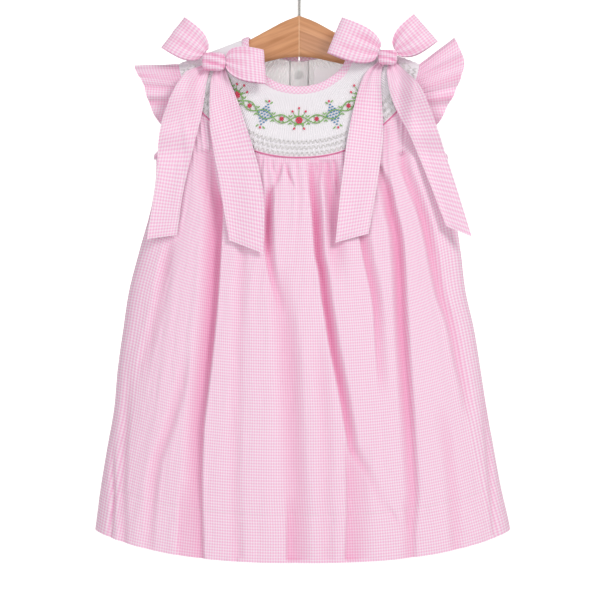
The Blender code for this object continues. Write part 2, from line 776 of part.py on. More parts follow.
def build():
    for old in list(bpy.data.objects):
        bpy.data.objects.remove(old)
    hanger_wood()
    hanger_hook()
    bib_front()
    bib_piping()
    for name, hand in (("back_left", -1), ("back_right", 1)):
        bib_back(name, hand)
    placket()
    for number, drop in enumerate(BUTTON_DROPS, 1):
        button("button_{}".format(number), drop)
    label()
    neck_binding()
    skirt("skirt_front", FRONT, FRONT_FOLDS, 3, SKIRT_ROWS)
    skirt("skirt_back", BACK, BACK_FOLDS, 2, BACK_ROWS)
    for name, hand in (("left", -1), ("right", 1)):
        ruffle("ruffle_" + name, hand)
        arm_binding("arm_binding_" + name, hand)
    bows()


build()
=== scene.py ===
"""Finished pieces of a smocked dress on its hanger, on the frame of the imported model.

The file is an add-on that also runs as a script: each group of pieces is an operator, the sizes
and colours are properties, and the sidebar has a panel for both. Lengths in the tables are in
millimetres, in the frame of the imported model, and become metres where a mesh is made.
"""

from math import asin, atan, cos, degrees, floor, hypot, pi, radians, sin, sqrt

import bmesh
import bpy
from bpy.props import FloatProperty, FloatVectorProperty
from mathutils import Matrix, Vector
from mathutils.noise import noise


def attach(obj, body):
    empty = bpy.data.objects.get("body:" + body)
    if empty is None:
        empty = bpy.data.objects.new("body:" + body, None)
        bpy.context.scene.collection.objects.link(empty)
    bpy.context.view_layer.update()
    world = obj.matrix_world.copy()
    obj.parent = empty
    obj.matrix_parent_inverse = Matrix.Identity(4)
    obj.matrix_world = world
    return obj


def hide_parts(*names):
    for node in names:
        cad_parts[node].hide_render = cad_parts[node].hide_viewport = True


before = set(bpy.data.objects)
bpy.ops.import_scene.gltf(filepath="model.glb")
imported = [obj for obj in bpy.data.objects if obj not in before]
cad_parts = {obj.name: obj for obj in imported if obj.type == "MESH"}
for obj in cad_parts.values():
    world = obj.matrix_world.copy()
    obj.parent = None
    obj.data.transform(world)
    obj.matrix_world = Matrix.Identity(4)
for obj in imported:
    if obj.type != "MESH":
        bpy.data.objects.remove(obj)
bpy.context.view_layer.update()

bl_info = {
    "name": "Smocked dress on a hanger",
    "version": (1, 0, 0),
    "blender": (4, 5, 0),
    "location": "View3D > Sidebar > Dress",
    "description": "Builds the finished pieces, materials, light and camera of a smocked dress",
    "category": "Object",
}

MM = 0.001
GAP = 0.3

# Cloth walls.
BODICE_WALL = 1.8
SKIRT_WALL = 2.0
RIBBON_WALL = 1.3

# The two shoulder lines, which would cross above the neck at height SHOULDER_TOP.
SHOULDER_TOP = -78.0
SHOULDER_SLOPE = 0.40
SHOULDER_ANGLE = degrees(atan(1 / SHOULDER_SLOPE))
SHOULDER_ROUND = 8.5
SHOULDER_BLEND = 40.0

# Hanger.
ARM_REACH = 113.0
ARM_SWEEP = 14.0
WOOD_THICK = 12.0
WOOD_TIP_THICK = 9.5
WOOD_TOP = -75.0
WIRE = 3.4
BORE_DEPTH = 18.0
HOOK_INNER = 19.0

# Columns: distance from the centre, drop of the top edge, drop of the bottom edge.
WOOD = (
    (0.0, 75.0, 121.0),
    (17.5, 82.2, 122.6),
    (36.0, 92.4, 127.0),
    (57.0, 103.8, 132.0),
    (85.0, 115.0, 138.0),
    (104.0, 123.2, 141.0),
    (110.0, 127.0, 140.0),
    (113.0, 131.5, 136.5),
)
HOOK_TIP_ANGLE = 208.0
HOOK_LEAVE_ANGLE = -50.0
STEM_TOP = -60.0
STEM_PULL = 12.0

# The dress as a flattened tube. Columns: drop, half width, centre, front depth, back depth.
BODY = (
    (79.0, 178.0, 0.0, 6.0, 4.0),
    (150.0, 172.0, 0.0, 12.0, 6.0),
    (235.0, 161.7, 2.0, 24.0, 10.0),
    (283.0, 167.8, 4.0, 29.0, 13.0),
    (338.0, 179.3, 1.0, 34.0, 15.0),
    (382.0, 187.6, -2.0, 37.0, 17.0),
    (426.0, 195.8, -0.5, 40.0, 19.0),
    (470.0, 202.4, 0.0, 43.0, 20.0),
    (514.0, 207.9, 1.5, 46.0, 22.0),
    (558.0, 215.6, 1.5, 48.0, 23.0),
    (602.0, 223.3, 2.0, 50.0, 24.0),
    (645.0, 231.0, 4.0, 52.0, 25.0),
    (690.0, 238.0, 4.0, 54.0, 26.0),
)
HALF = 1
CENTRE = 2
FRONT = 3
BACK = 4
ARM_STARTS = 150.0
ARM_BLEND = 80.0

# The bib, drawn about the crossing of the shoulder lines. Columns: angle from straight down,
# radius of the neck edge in front, radius of the neck edge behind, radius of the lower seam.
BIB = (
    (0.0, 86.9, 46.0, 158.0),
    (18.0, 86.3, 47.0, 158.2),
    (28.0, 84.6, 48.8, 155.5),
    (38.0, 83.0, 51.5, 152.5),
    (46.0, 79.5, 55.0, 151.3),
    (56.4, 74.5, 60.5, 149.2),
    (68.2, 68.2, 68.2, 143.4),
)
NECK = {FRONT: 1, BACK: 2}
SEAM = 3
SEAM_ANGLE = 56.4
PLEATS = 64
PLEAT_HEIGHT = 0.9
BINDING_WIDTH = 9.0
PLACKET_HALF = 11.0
PLACKET_RISE = 0.8
BUTTON_RADIUS = 5.5
BUTTON_DROPS = (140.0, 175.0, 210.0)
LABEL_SPAN = (18.0, 50.0)
LABEL_DROPS = (132.0, 154.0)

# Armhole edge under the bib's corner. Columns: way along it, distance from the centre, drop.
ARMHOLE = (
    (0.0, 124.3, 160.8),
    (0.2, 126.0, 178.0),
    (0.42, 133.1, 195.7),
    (0.65, 141.9, 211.1),
    (0.83, 152.9, 225.4),
    (1.0, 165.0, 234.7),
)
RUFFLE_ENDS = 0.42
BIB_SHARE = 0.46

# Skirt.
SEAM_SHARE = 0.80
EDGE_SHARE = 0.90
HEM_DROP = 677.5
HEM_RISE = 30.0
HEM_POWER = 2.6
GATHERS = 28
GATHER_HEIGHT = 1.5
GATHER_RUN = 0.26

# Valleys of the big folds. Columns: place across at the top, at mid height and at the hem (-1 is
# the left side seam), half width, depth at the top, depth at the hem, and where it ends (1 is the hem).
BACK_FOLDS = (
    (-0.880, -0.860, -0.840, 15.0, 4.0, 5.0, 1.3),
    (-0.560, -0.600, -0.620, 17.0, 6.0, 8.0, 1.3),
    (-0.250, -0.230, -0.270, 15.0, 4.0, 6.0, 1.3),
    (0.060, 0.030, 0.050, 16.0, 5.0, 8.0, 1.3),
    (0.330, 0.390, 0.410, 15.0, 5.0, 6.0, 1.3),
    (0.700, 0.660, 0.680, 17.0, 6.0, 7.0, 1.3),
    (0.900, 0.920, 0.900, 12.0, 3.0, 4.0, 1.3),
)

# Flutter sleeves.
RUFFLE_DEPTH = 49.0
RUFFLE_TAPER = 0.62
RUFFLE_WAVES = 10
RUFFLE_WAVE = 3.2
RUFFLE_LIFT = {-1: 9.0, 1: 25.0}
RUFFLE_FALL = 14.0
RUFFLE_SPLAY = 14.0

# Bows. A loop's corners are the upper and lower ends of its edge at the knot, then those of its
# outer fold. A tail's rows are left distance and drop, right distance and drop.
KNOT_THICK = 13.0
LOOP_THICK = 6.5
LOOP_TURN = 158.0
TAIL_LIFT = 1.4
TAIL_RISE = 2.4
TAIL_FOLD = 1.6
RUFFLE_CLEARANCE = 11.0
BOWS = {
    "bow_left": {
        "knot": (-93.5, -130.8, 13.0, 11.0),
        "loop_left": ((-100.3, -117.0), (-107.9, -126.1), (-125.4, -82.4), (-150.7, -115.4)),
        "loop_right": ((-79.8, -124.2), (-79.8, -137.4), (-39.6, -118.0), (-36.7, -155.0)),
        "tail_left": (
            (-104.0, 132.0, -95.0, 132.0),
            (-128.0, 148.0, -101.0, 150.0),
            (-151.8, 201.2, -107.8, 190.2),
            (-157.7, 262.8, -126.5, 268.3),
            (-167.2, 325.5, -134.2, 321.1),
        ),
        "tail_right": (
            (-92.0, 133.0, -83.0, 133.0),
            (-97.5, 156.0, -76.0, 152.0),
            (-97.9, 201.2, -61.9, 190.2),
            (-87.5, 262.8, -40.0, 267.2),
            (-76.5, 327.1, -38.5, 342.0),
        ),
    },
    "bow_right": {
        "knot": (97.4, -125.8, 10.6, 9.0),
        "loop_left": ((89.8, -113.2), (84.3, -127.2), (47.7, -82.3), (31.5, -120.9)),
        "loop_right": ((103.7, -114.2), (109.4, -123.0), (125.8, -78.8), (151.6, -108.5)),
        "tail_left": (
            (88.5, 128.0, 96.0, 128.0),
            (70.0, 148.0, 90.0, 148.0),
            (55.0, 204.5, 92.4, 208.9),
            (46.8, 262.8, 85.8, 262.8),
            (39.6, 329.9, 75.9, 320.0),
        ),
        "tail_right": (
            (98.5, 128.0, 106.0, 128.0),
            (97.0, 146.0, 118.0, 143.0),
            (103.4, 174.8, 137.0, 168.0),
            (130.9, 232.0, 162.8, 235.3),
            (161.7, 311.2, 190.0, 323.3),
        ),
    },
}

# Folds and creases of the front panel. Each has its width to the left and to the right of its
# deepest line, then rows of drop, distance from the centre and depth along that line.
CREASES = (
    (22, 4.5, (
        (227.6, -98.3, 3), (244.1, -96.3, 5), (267.2, -92.7, 8.5), (288.1, -87.5, 11.5),
        (337.6, -89.1, 12), (392.6, -92.4, 11), (442.1, -96.8, 11), (486.1, -101.8, 10),
        (530.1, -106.7, 9), (579.6, -108.4, 7.5), (623.6, -107.8, 6.5), (674.2, -106.2, 6),
    )),
    (3, 3, (
        (233.1, -17.1, 2.5), (245.2, -19.8, 3.5), (257.3, -23.1, 3), (270.5, -29.7, 3),
        (280.4, -35.2, 0),
    )),
    (3.5, 10, (
        (265, -31.9, 0), (280.4, -34.7, 7), (304.6, -35.8, 10), (326.6, -35.8, 10), (343.1, -34.7, 8),
        (361.8, -31.9, 6), (387.1, -25.3, 3), (409.1, -18.7, 0),
    )),
    (20, 16, (
        (350.8, -25.3, 0), (403.6, -16.5, 3.5), (447.6, -11, 5), (502.6, -7.7, 5), (568.6, -4.4, 4.5),
        (623.6, -1.1, 4), (674.2, 0, 4),
    )),
    (2.5, 14, (
        (599.4, -13.2, 0), (629.1, -12.1, 3), (674.2, -12.1, 4),
    )),
    (2.5, 2.5, (
        (238.6, -16.5, 2), (251.4, -12.4, 3), (263.9, -7.7, 2.2), (273.8, -4.4, 0),
    )),
    (3.8, 11, (
        (233.1, 13.8, 4), (246.3, 13.2, 6), (276, 14.3, 9), (291.4, 16, 10.5), (305.7, 17.1, 11.5),
        (343.1, 19.8, 12), (361.8, 23.7, 12), (392.6, 27.5, 12), (409.1, 30.3, 12), (441, 35.2, 11),
        (476.2, 42.4, 10), (504.8, 47.9, 9), (537.8, 53.4, 8), (553.2, 56.1, 6), (564.2, 61.6, 3.4),
        (575.2, 69.3, 2.4), (590.6, 78.1, 1.8), (610.4, 86.9, 1.2), (629.1, 95.7, 0),
    )),
    (3.5, 30, (
        (551, 50.6, 1.5), (579.6, 52.8, 4.5), (623.6, 53.4, 4.5), (674.2, 51.7, 5.5),
    )),
    (2.8, 3.5, (
        (233.1, 23.1, 2.5), (245.2, 23.9, 3.5), (254, 22, 2.4), (263.9, 22, 0),
    )),
    (11, 15, (
        (238.6, 29.7, 4), (271.6, 35.2, 7.5), (299.1, 37.4, 8), (326.6, 38.5, 6), (354.1, 40.7, 2.5),
        (372.8, 42.9, 0),
    )),
    (3, 3, (
        (233.1, 37.4, 2.5), (260.6, 41.8, 3.5), (284.8, 44, 0),
    )),
    (3, 5, (
        (225.4, -51.7, 2.5), (247.4, -49.5, 3), (260.6, -45.1, 2), (273.8, -42.9, 0),
    )),
    (4, 3, (
        (233.1, -28.6, 2.5), (247.4, -29, 3.4), (254, -26.4, 2), (262.8, -25.3, 0),
    )),
    (3, 3, (
        (228.7, -38.5, 2), (238.6, -40.7, 2.5), (256.2, -40.7, 0),
    )),
    (3.5, 12, (
        (288.1, 63.8, 0), (325.2, 68.8, 7), (345.3, 72.4, 7.5), (384.9, 80.9, 7), (405.8, 83.6, 6.5),
        (436.6, 85.2, 5), (476.2, 88, 3), (498.2, 90.2, 0),
    )),
    (14, 6, (
        (244.1, 86.9, 4), (272.5, 98.8, 8), (290.3, 102.3, 9), (317.3, 108.9, 10), (350.8, 112.2, 10.5),
        (403.6, 114.4, 10), (436.6, 116.1, 9.5), (470.7, 118.3, 9), (504.8, 120.6, 8.5),
        (537.8, 122.8, 7.5), (579.6, 125, 6.5), (602.7, 126, 6), (636.8, 123.9, 4.5), (674.2, 122.8, 4),
    )),
    (9, 9, (
        (229.8, 114.4, 3.5), (247.8, 117.7, 5.5), (278.2, 129.8, 7), (306.1, 139.2, 7.5),
        (339.8, 147, 7), (384.9, 156, 6), (420.1, 168.3, 5), (459.7, 176, 4.2), (493.8, 183.7, 3),
        (529, 189.2, 0),
    )),
    (9, 9, (
        (447.6, -124.3, 0), (492.7, -132, 3), (535.6, -144.1, 3.6), (568.6, -156.2, 3.6),
        (601.6, -160.6, 3), (634.6, -162.8, 2), (674.2, -163.9, 1.5),
    )),
    (2.8, 18, (
        (588.4, -129.8, 0), (618.1, -129.8, 3), (645.6, -130.9, 3.5), (674.2, -130.9, 3.5),
    )),
    (3.5, 4, (
        (546.6, -205.7, 0), (581.8, -206.8, 2), (612.6, -205.7, 3.5), (645.6, -207.9, 3),
        (665.4, -210.1, 2.5),
    )),
    (9, 12, (
        (317.8, -139.7, 0), (350.8, -147.4, 4), (381.6, -152.9, 3.2), (414.6, -159.5, 2.5),
        (447.6, -168.3, 2), (485, -177.1, 0),
    )),
    (5, 5, (
        (610.4, 92.4, 0), (623.6, 100.1, 1.3), (636.8, 107.8, 0.9), (650, 113.3, 0),
    )),
    (4, 5, (
        (608.2, 113.3, 0), (623.6, 117.7, 1.3), (636.8, 121, 0.9), (652.2, 124.3, 0),
    )),
    (10, 10, (
        (282.6, -60.5, 0), (326.6, -61.6, 2.2), (392.6, -64.9, 2.4), (458.6, -67.1, 2),
        (535.6, -69.3, 2), (612.6, -69.3, 2), (674.2, -67.1, 2.5),
    )),
    (12, 12, (
        (425.6, 20.9, 0), (480.6, 25.3, 2), (546.6, 29.7, 2), (612.6, 29.7, 1.5), (674.2, 30.8, 2),
    )),
    (10, 10, (
        (502.6, 155.1, 0), (546.6, 161.7, 2.4), (601.6, 168.3, 2.5), (665.4, 171.6, 2.5),
    )),
    (8, 8, (
        (458.6, -185.9, 0), (524.6, -192.5, 2.2), (590.6, -194.7, 2.4), (669.8, -192.5, 2),
    )),
    (6, 6, (
        (480.6, 203.5, 0), (546.6, 209, 2), (612.6, 213.4, 2), (651.1, 215.6, 1.5),
    )),
)

# Finish of the bib and its embroidery.
FINE_PLEAT = 0.55
SMOCK_BAND = 21.0
SMOCK_CELL = 6.5
SMOCK_ROWS = (4.0, 10.5, 17.0)
SMOCK_ZIGZAG = 1.6
VINE_REACH = 50.0
VINE_CELL = 9.5
VINE_WAVE = 4.6
VINE_SHARE = 0.42

# Sewing: spacing of the stitches and how much of each shows.
HEM_STITCH = (2.7, 1.9)
EDGE_STITCH = (2.4, 1.6)

# Cut of the cloth. A panel's threads run PANEL_HALF to each side of its middle.
PANEL_HALF = 262.0
RUFFLE_CUT = (0.19, 0.05)
RUFFLE_TIP = {-1: -12.0, 1: 14.0}
RUFFLE_FULL = {-1: 0.0, 1: 0.24}
RIBBON_WIDTH = 42.0
LOOP_BELLY = 7.0
TAIL_LENGTH = 205.0

# Stage, in metres and watts.
FLOOR_DROP = -1.25
CAMERA_AWAY = 2.03
CAMERA_HEIGHT = -0.3925
CAMERA_LENS = 109.1
WORLD_LIGHT = 0.42
KEY_LIGHT = 38.0
FILL_LIGHT = 19.0
WALL_LIGHT = 110.0


# Form of the dress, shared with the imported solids


def clamp(value, low=0.0, high=1.0):
    return min(max(value, low), high)


def smooth(value):
    value = clamp(value)
    return value * value * (3 - 2 * value)


def mix(low, high, share):
    return low + (high - low) * share


def read(rows, place, column):
    """Read one column of a table on a smooth curve through its rows."""
    last = len(rows) - 1
    place = clamp(place, rows[0][0], rows[last][0])
    row = 0
    while row < last - 1 and place > rows[row + 1][0]:
        row += 1
    step = rows[row + 1][0] - rows[row][0]
    rise = rows[row + 1][column] - rows[row][column]
    share = (place - rows[row][0]) / step
    bend = []
    for middle in (row, row + 1):
        low = rows[max(middle - 1, 0)]
        high = rows[min(middle + 1, last)]
        bend.append((high[column] - low[column]) / (high[0] - low[0]) * step)
    lean = (bend[0] - rise) * (1 - share) + (rise - bend[1]) * share
    return rows[row][column] + rise * share + share * (1 - share) * lean


def steps(count, low=0.0, high=1.0):
    return [mix(low, high, k / count) for k in range(count + 1)]


def below_shoulder(x, z):
    """Distance of a point of the front view under the shoulder line."""
    return (SHOULDER_TOP - SHOULDER_SLOPE * abs(x) - z) / hypot(1, SHOULDER_SLOPE)


def sweep(x, z):
    """How far the arms of the hanger carry the cloth forward."""
    fade = 1 - smooth((below_shoulder(x, z) - 15) / 55)
    return -ARM_SWEEP * (abs(x) / ARM_REACH) ** 1.15 * fade


def spread(x, z, side):
    """Depth of one side of the dress from its middle plane, before the shoulder is rounded."""
    drop = -z
    share = clamp(abs(x - read(BODY, drop, CENTRE)) / read(BODY, drop, HALF))
    roundness = (1 - share ** 2) ** 0.42
    edge = roundness ** smooth((drop - ARM_STARTS) / ARM_BLEND)
    chest = smooth(below_shoulder(x, z) / SHOULDER_BLEND)
    return SHOULDER_ROUND * edge + read(BODY, drop, side) * roundness * chest


def facing(side):
    return -1 if side == FRONT else 1


def middle(x, z, side):
    """Y of one side of the dress, before the shoulder is rounded."""
    return sweep(x, z) + facing(side) * (spread(x, z, side) + GAP / 2)


def shoulder_turn(x, z):
    """1 on the shoulder line, 0 where the cloth has turned over the hanger's arm."""
    return 1 - clamp(below_shoulder(x, z) / SHOULDER_ROUND)


def normal(x, z, side):
    step = 0.5
    turn = shoulder_turn(x, z)
    flat = sqrt(1 - turn ** 2)
    lean_x = (middle(x + step, z, side) - middle(x - step, z, side)) / (2 * step)
    lean_z = (middle(x, z + step, side) - middle(x, z - step, side)) / (2 * step)
    way = facing(side)
    slope = SHOULDER_SLOPE * turn * (1 if x > 0 else -1)
    return Vector((slope - way * lean_x * flat, way * flat, turn - way * lean_z * flat)).normalized()


def on_body(x, z, side, out=0.0):
    """A point of the dress, moved out of its surface."""
    turn = shoulder_turn(x, z)
    rounding = SHOULDER_ROUND * (1 - sqrt(1 - turn ** 2))
    y = middle(x, z, side) - facing(side) * rounding
    return Vector((x, y, z)) + normal(x, z, side) * out


def polar(angle, radius):
    """A place of the front view, by its angle from straight down and its radius."""
    return radius * sin(radians(angle)), SHOULDER_TOP - radius * cos(radians(angle))


def on_bib(angle, radius, side, out=0.0):
    x, z = polar(angle, radius)
    return on_body(x, z, side, out)


def armhole(way, hand):
    """A place on the armhole's edge, from the bib's corner down to the side seam."""
    drop = read(ARMHOLE, way, 2)
    centre = read(BODY, drop, CENTRE)
    half = read(BODY, drop, HALF)
    x = hand * read(ARMHOLE, way, 1) + centre * smooth(way)
    return clamp(x, centre - half, centre + half), -drop


def skirt_top(u):
    """Top edge of the skirt: the bib's seam, then the armhole down to the side seam."""
    if abs(u) <= SEAM_SHARE:
        angle = u / SEAM_SHARE * SEAM_ANGLE
        return polar(angle, read(BIB, abs(angle), SEAM) + GAP)
    return armhole((abs(u) - SEAM_SHARE) / (1 - SEAM_SHARE), 1 if u > 0 else -1)


def across_hem(u):
    """Share of the half width at the hem, evenly spaced round the curve of the side."""
    if abs(u) <= EDGE_SHARE:
        return u
    start = asin(EDGE_SHARE)
    turn = mix(start, pi / 2, (abs(u) - EDGE_SHARE) / (1 - EDGE_SHARE))
    return sin(turn) if u > 0 else -sin(turn)


def fold_depth(u, v, folds):
    """How deep the big folds lie under the smooth form, at one place of a panel."""
    depth = 0.0
    for top, mid, hem, half, deep_top, deep_hem, ends in folds:
        lane = mix(top, mid, smooth(2 * v)) if v < 0.5 else mix(mid, hem, smooth(2 * v - 1))
        reach = half / mix(165, 232, v)
        share = (u - lane) / reach
        if abs(share) < 1:
            strength = mix(deep_top, deep_hem, v) * smooth(8 * v + 0.1) * smooth((ends - v) * 5)
            depth += strength * (1 - share ** 2) ** 2
    return depth


def arm_edge(t, hand):
    """The armhole's edge: 0 is the shoulder, -1 the low front end, 1 the low back end."""
    side = FRONT if t < 0 else BACK
    if abs(t) < BIB_SHARE:
        angle = mix(SHOULDER_ANGLE, SEAM_ANGLE, abs(t) / BIB_SHARE)
        return on_bib(hand * angle, read(BIB, angle, SEAM), side, -BODICE_WALL / 2)
    x, z = armhole((abs(t) - BIB_SHARE) / (1 - BIB_SHARE) * RUFFLE_ENDS, hand)
    return on_body(x, z, side, -BODICE_WALL / 2)


def front_plane(x, z):
    """Y of the front of the dress, carried on straight past its sides."""
    centre = read(BODY, -z, CENTRE)
    limit = 0.8 * read(BODY, -z, HALF)
    return on_body(clamp(x, centre - limit, centre + limit), z, FRONT).y


def knot_back(place):
    """Y of the back of a knot, which sits on the tails."""
    x, z, _, half_height = place
    return front_plane(x, z - 0.48 * half_height) - TAIL_LIFT - RIBBON_WALL - GAP


def linear(code):
    """Turn a hex colour as seen into linear values."""
    shades = [int(code[k:k + 2], 16) / 255 for k in (0, 2, 4)]
    return [((s + 0.055) / 1.055) ** 2.4 if s > 0.04045 else s / 12.92 for s in shades]


def size(name, metres, description):
    return FloatProperty(
        name=name, description=description, default=metres, min=0, unit="LENGTH", precision=5
    )


def tint(name, code, description):
    return FloatVectorProperty(
        name=name, description=description, default=linear(code), min=0, max=1, subtype="COLOR"
    )


class DressSettings(bpy.types.PropertyGroup):
    """Sizes and colours of the finish."""

    check: size("Check", 0.0031, "Repeat of the gingham's checks")
    cloth: size("Cloth", 0.0006, "Thickness of the cotton as it shows at an edge")
    wrinkle: size("Wrinkle", 0.0013, "Height of the broad, soft unevenness of the hanging cloth")
    crease: size("Crease", 0.00045, "Height of the small creases")
    hem: size("Hem", 0.052, "Depth of the skirt's hem")
    floss: size("Floss", 0.0006, "Radius of the embroidery floss")
    thread: size("Thread", 0.00017, "Radius of the sewing thread")
    pink: tint("Gingham pink", "F8B8DC", "Dyed yarn of the gingham")
    white: tint("Gingham white", "FCECF6", "Undyed yarn of the gingham")
    # Painted shade: the pink that the gingham is darkened towards in its folds, creases and gathers.
    fold: tint("Fold pink", "F3C4D9", "What a doubled layer of the gingham takes from the light")
    # Painted shade: the bib's batiste is set greyer than the same batiste of the back, for the shade on the
    # pleated bib.
    bib: tint("Bib white", "F3EFF4", "Cotton of the bib")
    # Painted light: the back's batiste is set whiter than the bib's, to light the inside of the neck.
    sheer: tint("Back white", "FFFAFD", "Cotton of the back bodice")
    piping: tint("Piping pink", "EE7FB0", "Piping in the bib's seam")
    rose: tint("Rose floss", "EE3F66", "Buds of the embroidery")
    leaf: tint("Leaf floss", "8FC66C", "Vine and leaves of the embroidery")
    sky: tint("Blue floss", "5C97C6", "Seed stitches of the embroidery")
    floss_white: tint("White floss", "FAF8F6", "Smocking stitches and topstitching")
    wood: tint("Wood", "E2A678", "Varnished beech of the hanger")
    grain: tint("Wood grain", "BC7F52", "Darker grain of the hanger")
    steel: tint("Steel", "C3C0BC", "Polished wire of the hook")
    button: tint("Button", "F4F0EA", "Pearl buttons of the back")
    floor: tint("Floor", "FBFAF9", "Plain pale floor and backdrop")


def settings():
    return bpy.context.scene.dress


# Materials


def add(tree, kind, inputs=None, **attributes):
    """Add a shader node, set its attributes, and set or link its inputs."""
    node = tree.nodes.new(kind)
    for key, value in attributes.items():
        setattr(node, key, value)
    for key, value in (inputs or {}).items():
        if isinstance(value, bpy.types.NodeSocket):
            tree.links.new(value, node.inputs[key])
        else:
            node.inputs[key].default_value = value
    return node


def start(name, roughness):
    """A new material, its node tree and its surface node."""
    made = bpy.data.materials.new(name)
    made.use_nodes = True
    surface = made.node_tree.nodes["Principled BSDF"]
    surface.inputs["Roughness"].default_value = roughness
    return made, made.node_tree, surface


def once(maker):
    """Keep a material after its first making."""
    def keep(*details):
        name = "_".join([maker.__name__] + [str(detail) for detail in details])
        return bpy.data.materials.get(name) or maker(name, *details)
    return keep


def mixed(tree, share, low, high, blend="MIX"):
    node = add(tree, "ShaderNodeMix", data_type="RGBA", blend_type=blend)
    for key, value in (("Factor", share), ("A", low), ("B", high)):
        socket = next(item for item in node.inputs if item.name == key and item.enabled)
        if isinstance(value, bpy.types.NodeSocket):
            tree.links.new(value, socket)
        elif key == "Factor":
            socket.default_value = value
        else:
            socket.default_value = tuple(value) + (1.0,)
    return next(item for item in node.outputs if item.enabled)


def math(tree, operation, first, second=0.0, third=0.0):
    return add(tree, "ShaderNodeMath", {0: first, 1: second, 2: third}, operation=operation).outputs[0]


def yarns(tree, coordinate, pitch):
    """Height of the yarns that cross one direction, 0 to 1."""
    turn = math(tree, "MULTIPLY", coordinate, 2 * pi / pitch)
    return math(tree, "MULTIPLY_ADD", math(tree, "SINE", turn), 0.5, 0.5)


def weave_axes(tree):
    """The cloth's own thread coordinates in millimetres, kept on each piece as an attribute, whose
    third part is the share of painted fold shade.
    """
    threads = add(tree, "ShaderNodeAttribute", attribute_name="weave").outputs["Vector"]
    parts = add(tree, "ShaderNodeSeparateXYZ", {"Vector": threads})
    return parts.outputs["X"], parts.outputs["Y"], parts.outputs["Z"]


def cotton(tree, surface, depth):
    """Give cotton its soft sheen and its plain weave, as a fine bump."""
    across, along, _ = weave_axes(tree)
    woven = math(tree, "MULTIPLY", yarns(tree, across, 0.62), yarns(tree, along, 0.62))
    place = add(tree, "ShaderNodeTexCoord").outputs["Object"]
    slub = add(tree, "ShaderNodeTexNoise", {"Vector": place, "Scale": 260.0, "Detail": 3.0}).outputs["Fac"]
    height = math(tree, "MULTIPLY_ADD", slub, 0.7, woven)
    bump = add(tree, "ShaderNodeBump", {"Height": height, "Strength": 0.5, "Distance": depth})
    tree.links.new(bump.outputs["Normal"], surface.inputs["Normal"])
    surface.inputs["Sheen Weight"].default_value = 0.12
    surface.inputs["Sheen Roughness"].default_value = 0.5
    surface.inputs["Specular IOR Level"].default_value = 0.25


@once
def pink_gingham(name):
    """Pink and white gingham: yarn-dyed stripes both ways, full, half and no pink where they cross."""
    made, tree, surface = start(name, 0.82)
    repeat = settings().check * 1000
    across, along, painted_fold_shade = weave_axes(tree)
    stripes = []
    for coordinate in (across, along):
        folded = math(tree, "PINGPONG", coordinate, repeat / 2)
        edge = repeat / 4
        stripes.append(add(tree, "ShaderNodeMapRange", {
            "Value": folded, "From Min": edge - 0.14, "From Max": edge + 0.14
        }, interpolation_type="SMOOTHSTEP").outputs["Result"])
    share = math(tree, "MULTIPLY", math(tree, "ADD", *stripes), 0.5)
    place = add(tree, "ShaderNodeTexCoord").outputs["Object"]
    fade = add(tree, "ShaderNodeTexNoise", {"Vector": place, "Scale": 9.0, "Detail": 2.0}).outputs["Fac"]
    worn = math(tree, "MULTIPLY", share, math(tree, "MULTIPLY_ADD", fade, 0.16, 0.90))
    checks = mixed(tree, worn, settings().white, settings().pink)
    yarn = math(tree, "MULTIPLY_ADD", yarns(tree, math(tree, "ADD", across, along), 0.62), 0.05, 0.95)
    woven = mixed(tree, 1.0, checks, yarn, "MULTIPLY")
    # Painted shade: the checks are darkened towards the fold pink as far as the attribute marks a fold,
    # crease or gather.
    shaded_checks = mixed(tree, 1.0, woven, settings().fold, "MULTIPLY")
    tree.links.new(mixed(tree, painted_fold_shade, woven, shaded_checks), surface.inputs["Base Color"])
    cotton(tree, surface, 0.00012)
    return made


@once
def white_batiste(name):
    """White cotton batiste: almost plain, a little warmer and cooler from place to place."""
    made, tree, surface = start(name, 0.85)
    place = add(tree, "ShaderNodeTexCoord").outputs["Object"]
    tone = add(tree, "ShaderNodeTexNoise", {"Vector": place, "Scale": 14.0, "Detail": 3.0}).outputs["Fac"]
    # The bib white carries painted shade: it is greyer than the back's same batiste.
    low = [shade * 0.93 for shade in settings().bib]
    tree.links.new(mixed(tree, tone, low, settings().bib), surface.inputs["Base Color"])
    cotton(tree, surface, 0.00010)
    return made


@once
def sheer_batiste(name):
    """The same batiste in one layer, on the back: light from behind comes through it, and its colour
    is set whiter than the bib's as painted light, so the inside of the neck isn't dark."""
    made, tree, surface = start(name, 0.85)
    surface.inputs["Base Color"].default_value = (*settings().sheer, 1.0)
    surface.inputs["Subsurface Weight"].default_value = 0.75
    surface.inputs["Subsurface Radius"].default_value = (1.0, 0.85, 0.9)
    surface.inputs["Subsurface Scale"].default_value = 0.005
    cotton(tree, surface, 0.00010)
    return made


@once
def label_satin(name):
    """Woven satin ribbon of the label, smoother than the batiste. Its small glow stands for the
    light that comes to it through the back."""
    made, tree, surface = start(name, 0.55)
    surface.inputs["Base Color"].default_value = (*settings().sheer, 1.0)
    surface.inputs["Emission Color"].default_value = (*settings().sheer, 1.0)
    surface.inputs["Emission Strength"].default_value = 0.2
    cotton(tree, surface, 0.00006)
    return made


@once
def floss(name, colour_name):
    """Twisted floss: fine slanting strands with a painted highlight where they catch the light and
    painted shade between them, besides their bump.
    """
    made, tree, surface = start(name, 0.5)
    colour = getattr(settings(), colour_name)
    place = add(tree, "ShaderNodeTexCoord").outputs["Object"]
    strands = add(tree, "ShaderNodeTexNoise", {
        "Vector": place, "Scale": 1500.0, "Detail": 2.0
    }).outputs["Fac"]
    # Painted highlight and shade: the colour is lighter on the strands and darker between them.
    dark = [shade * 0.72 for shade in colour]
    tree.links.new(mixed(tree, strands, dark, colour), surface.inputs["Base Color"])
    bump = add(tree, "ShaderNodeBump", {"Height": strands, "Strength": 0.5, "Distance": 0.0002})
    tree.links.new(bump.outputs["Normal"], surface.inputs["Normal"])
    surface.inputs["Sheen Weight"].default_value = 0.25
    return made


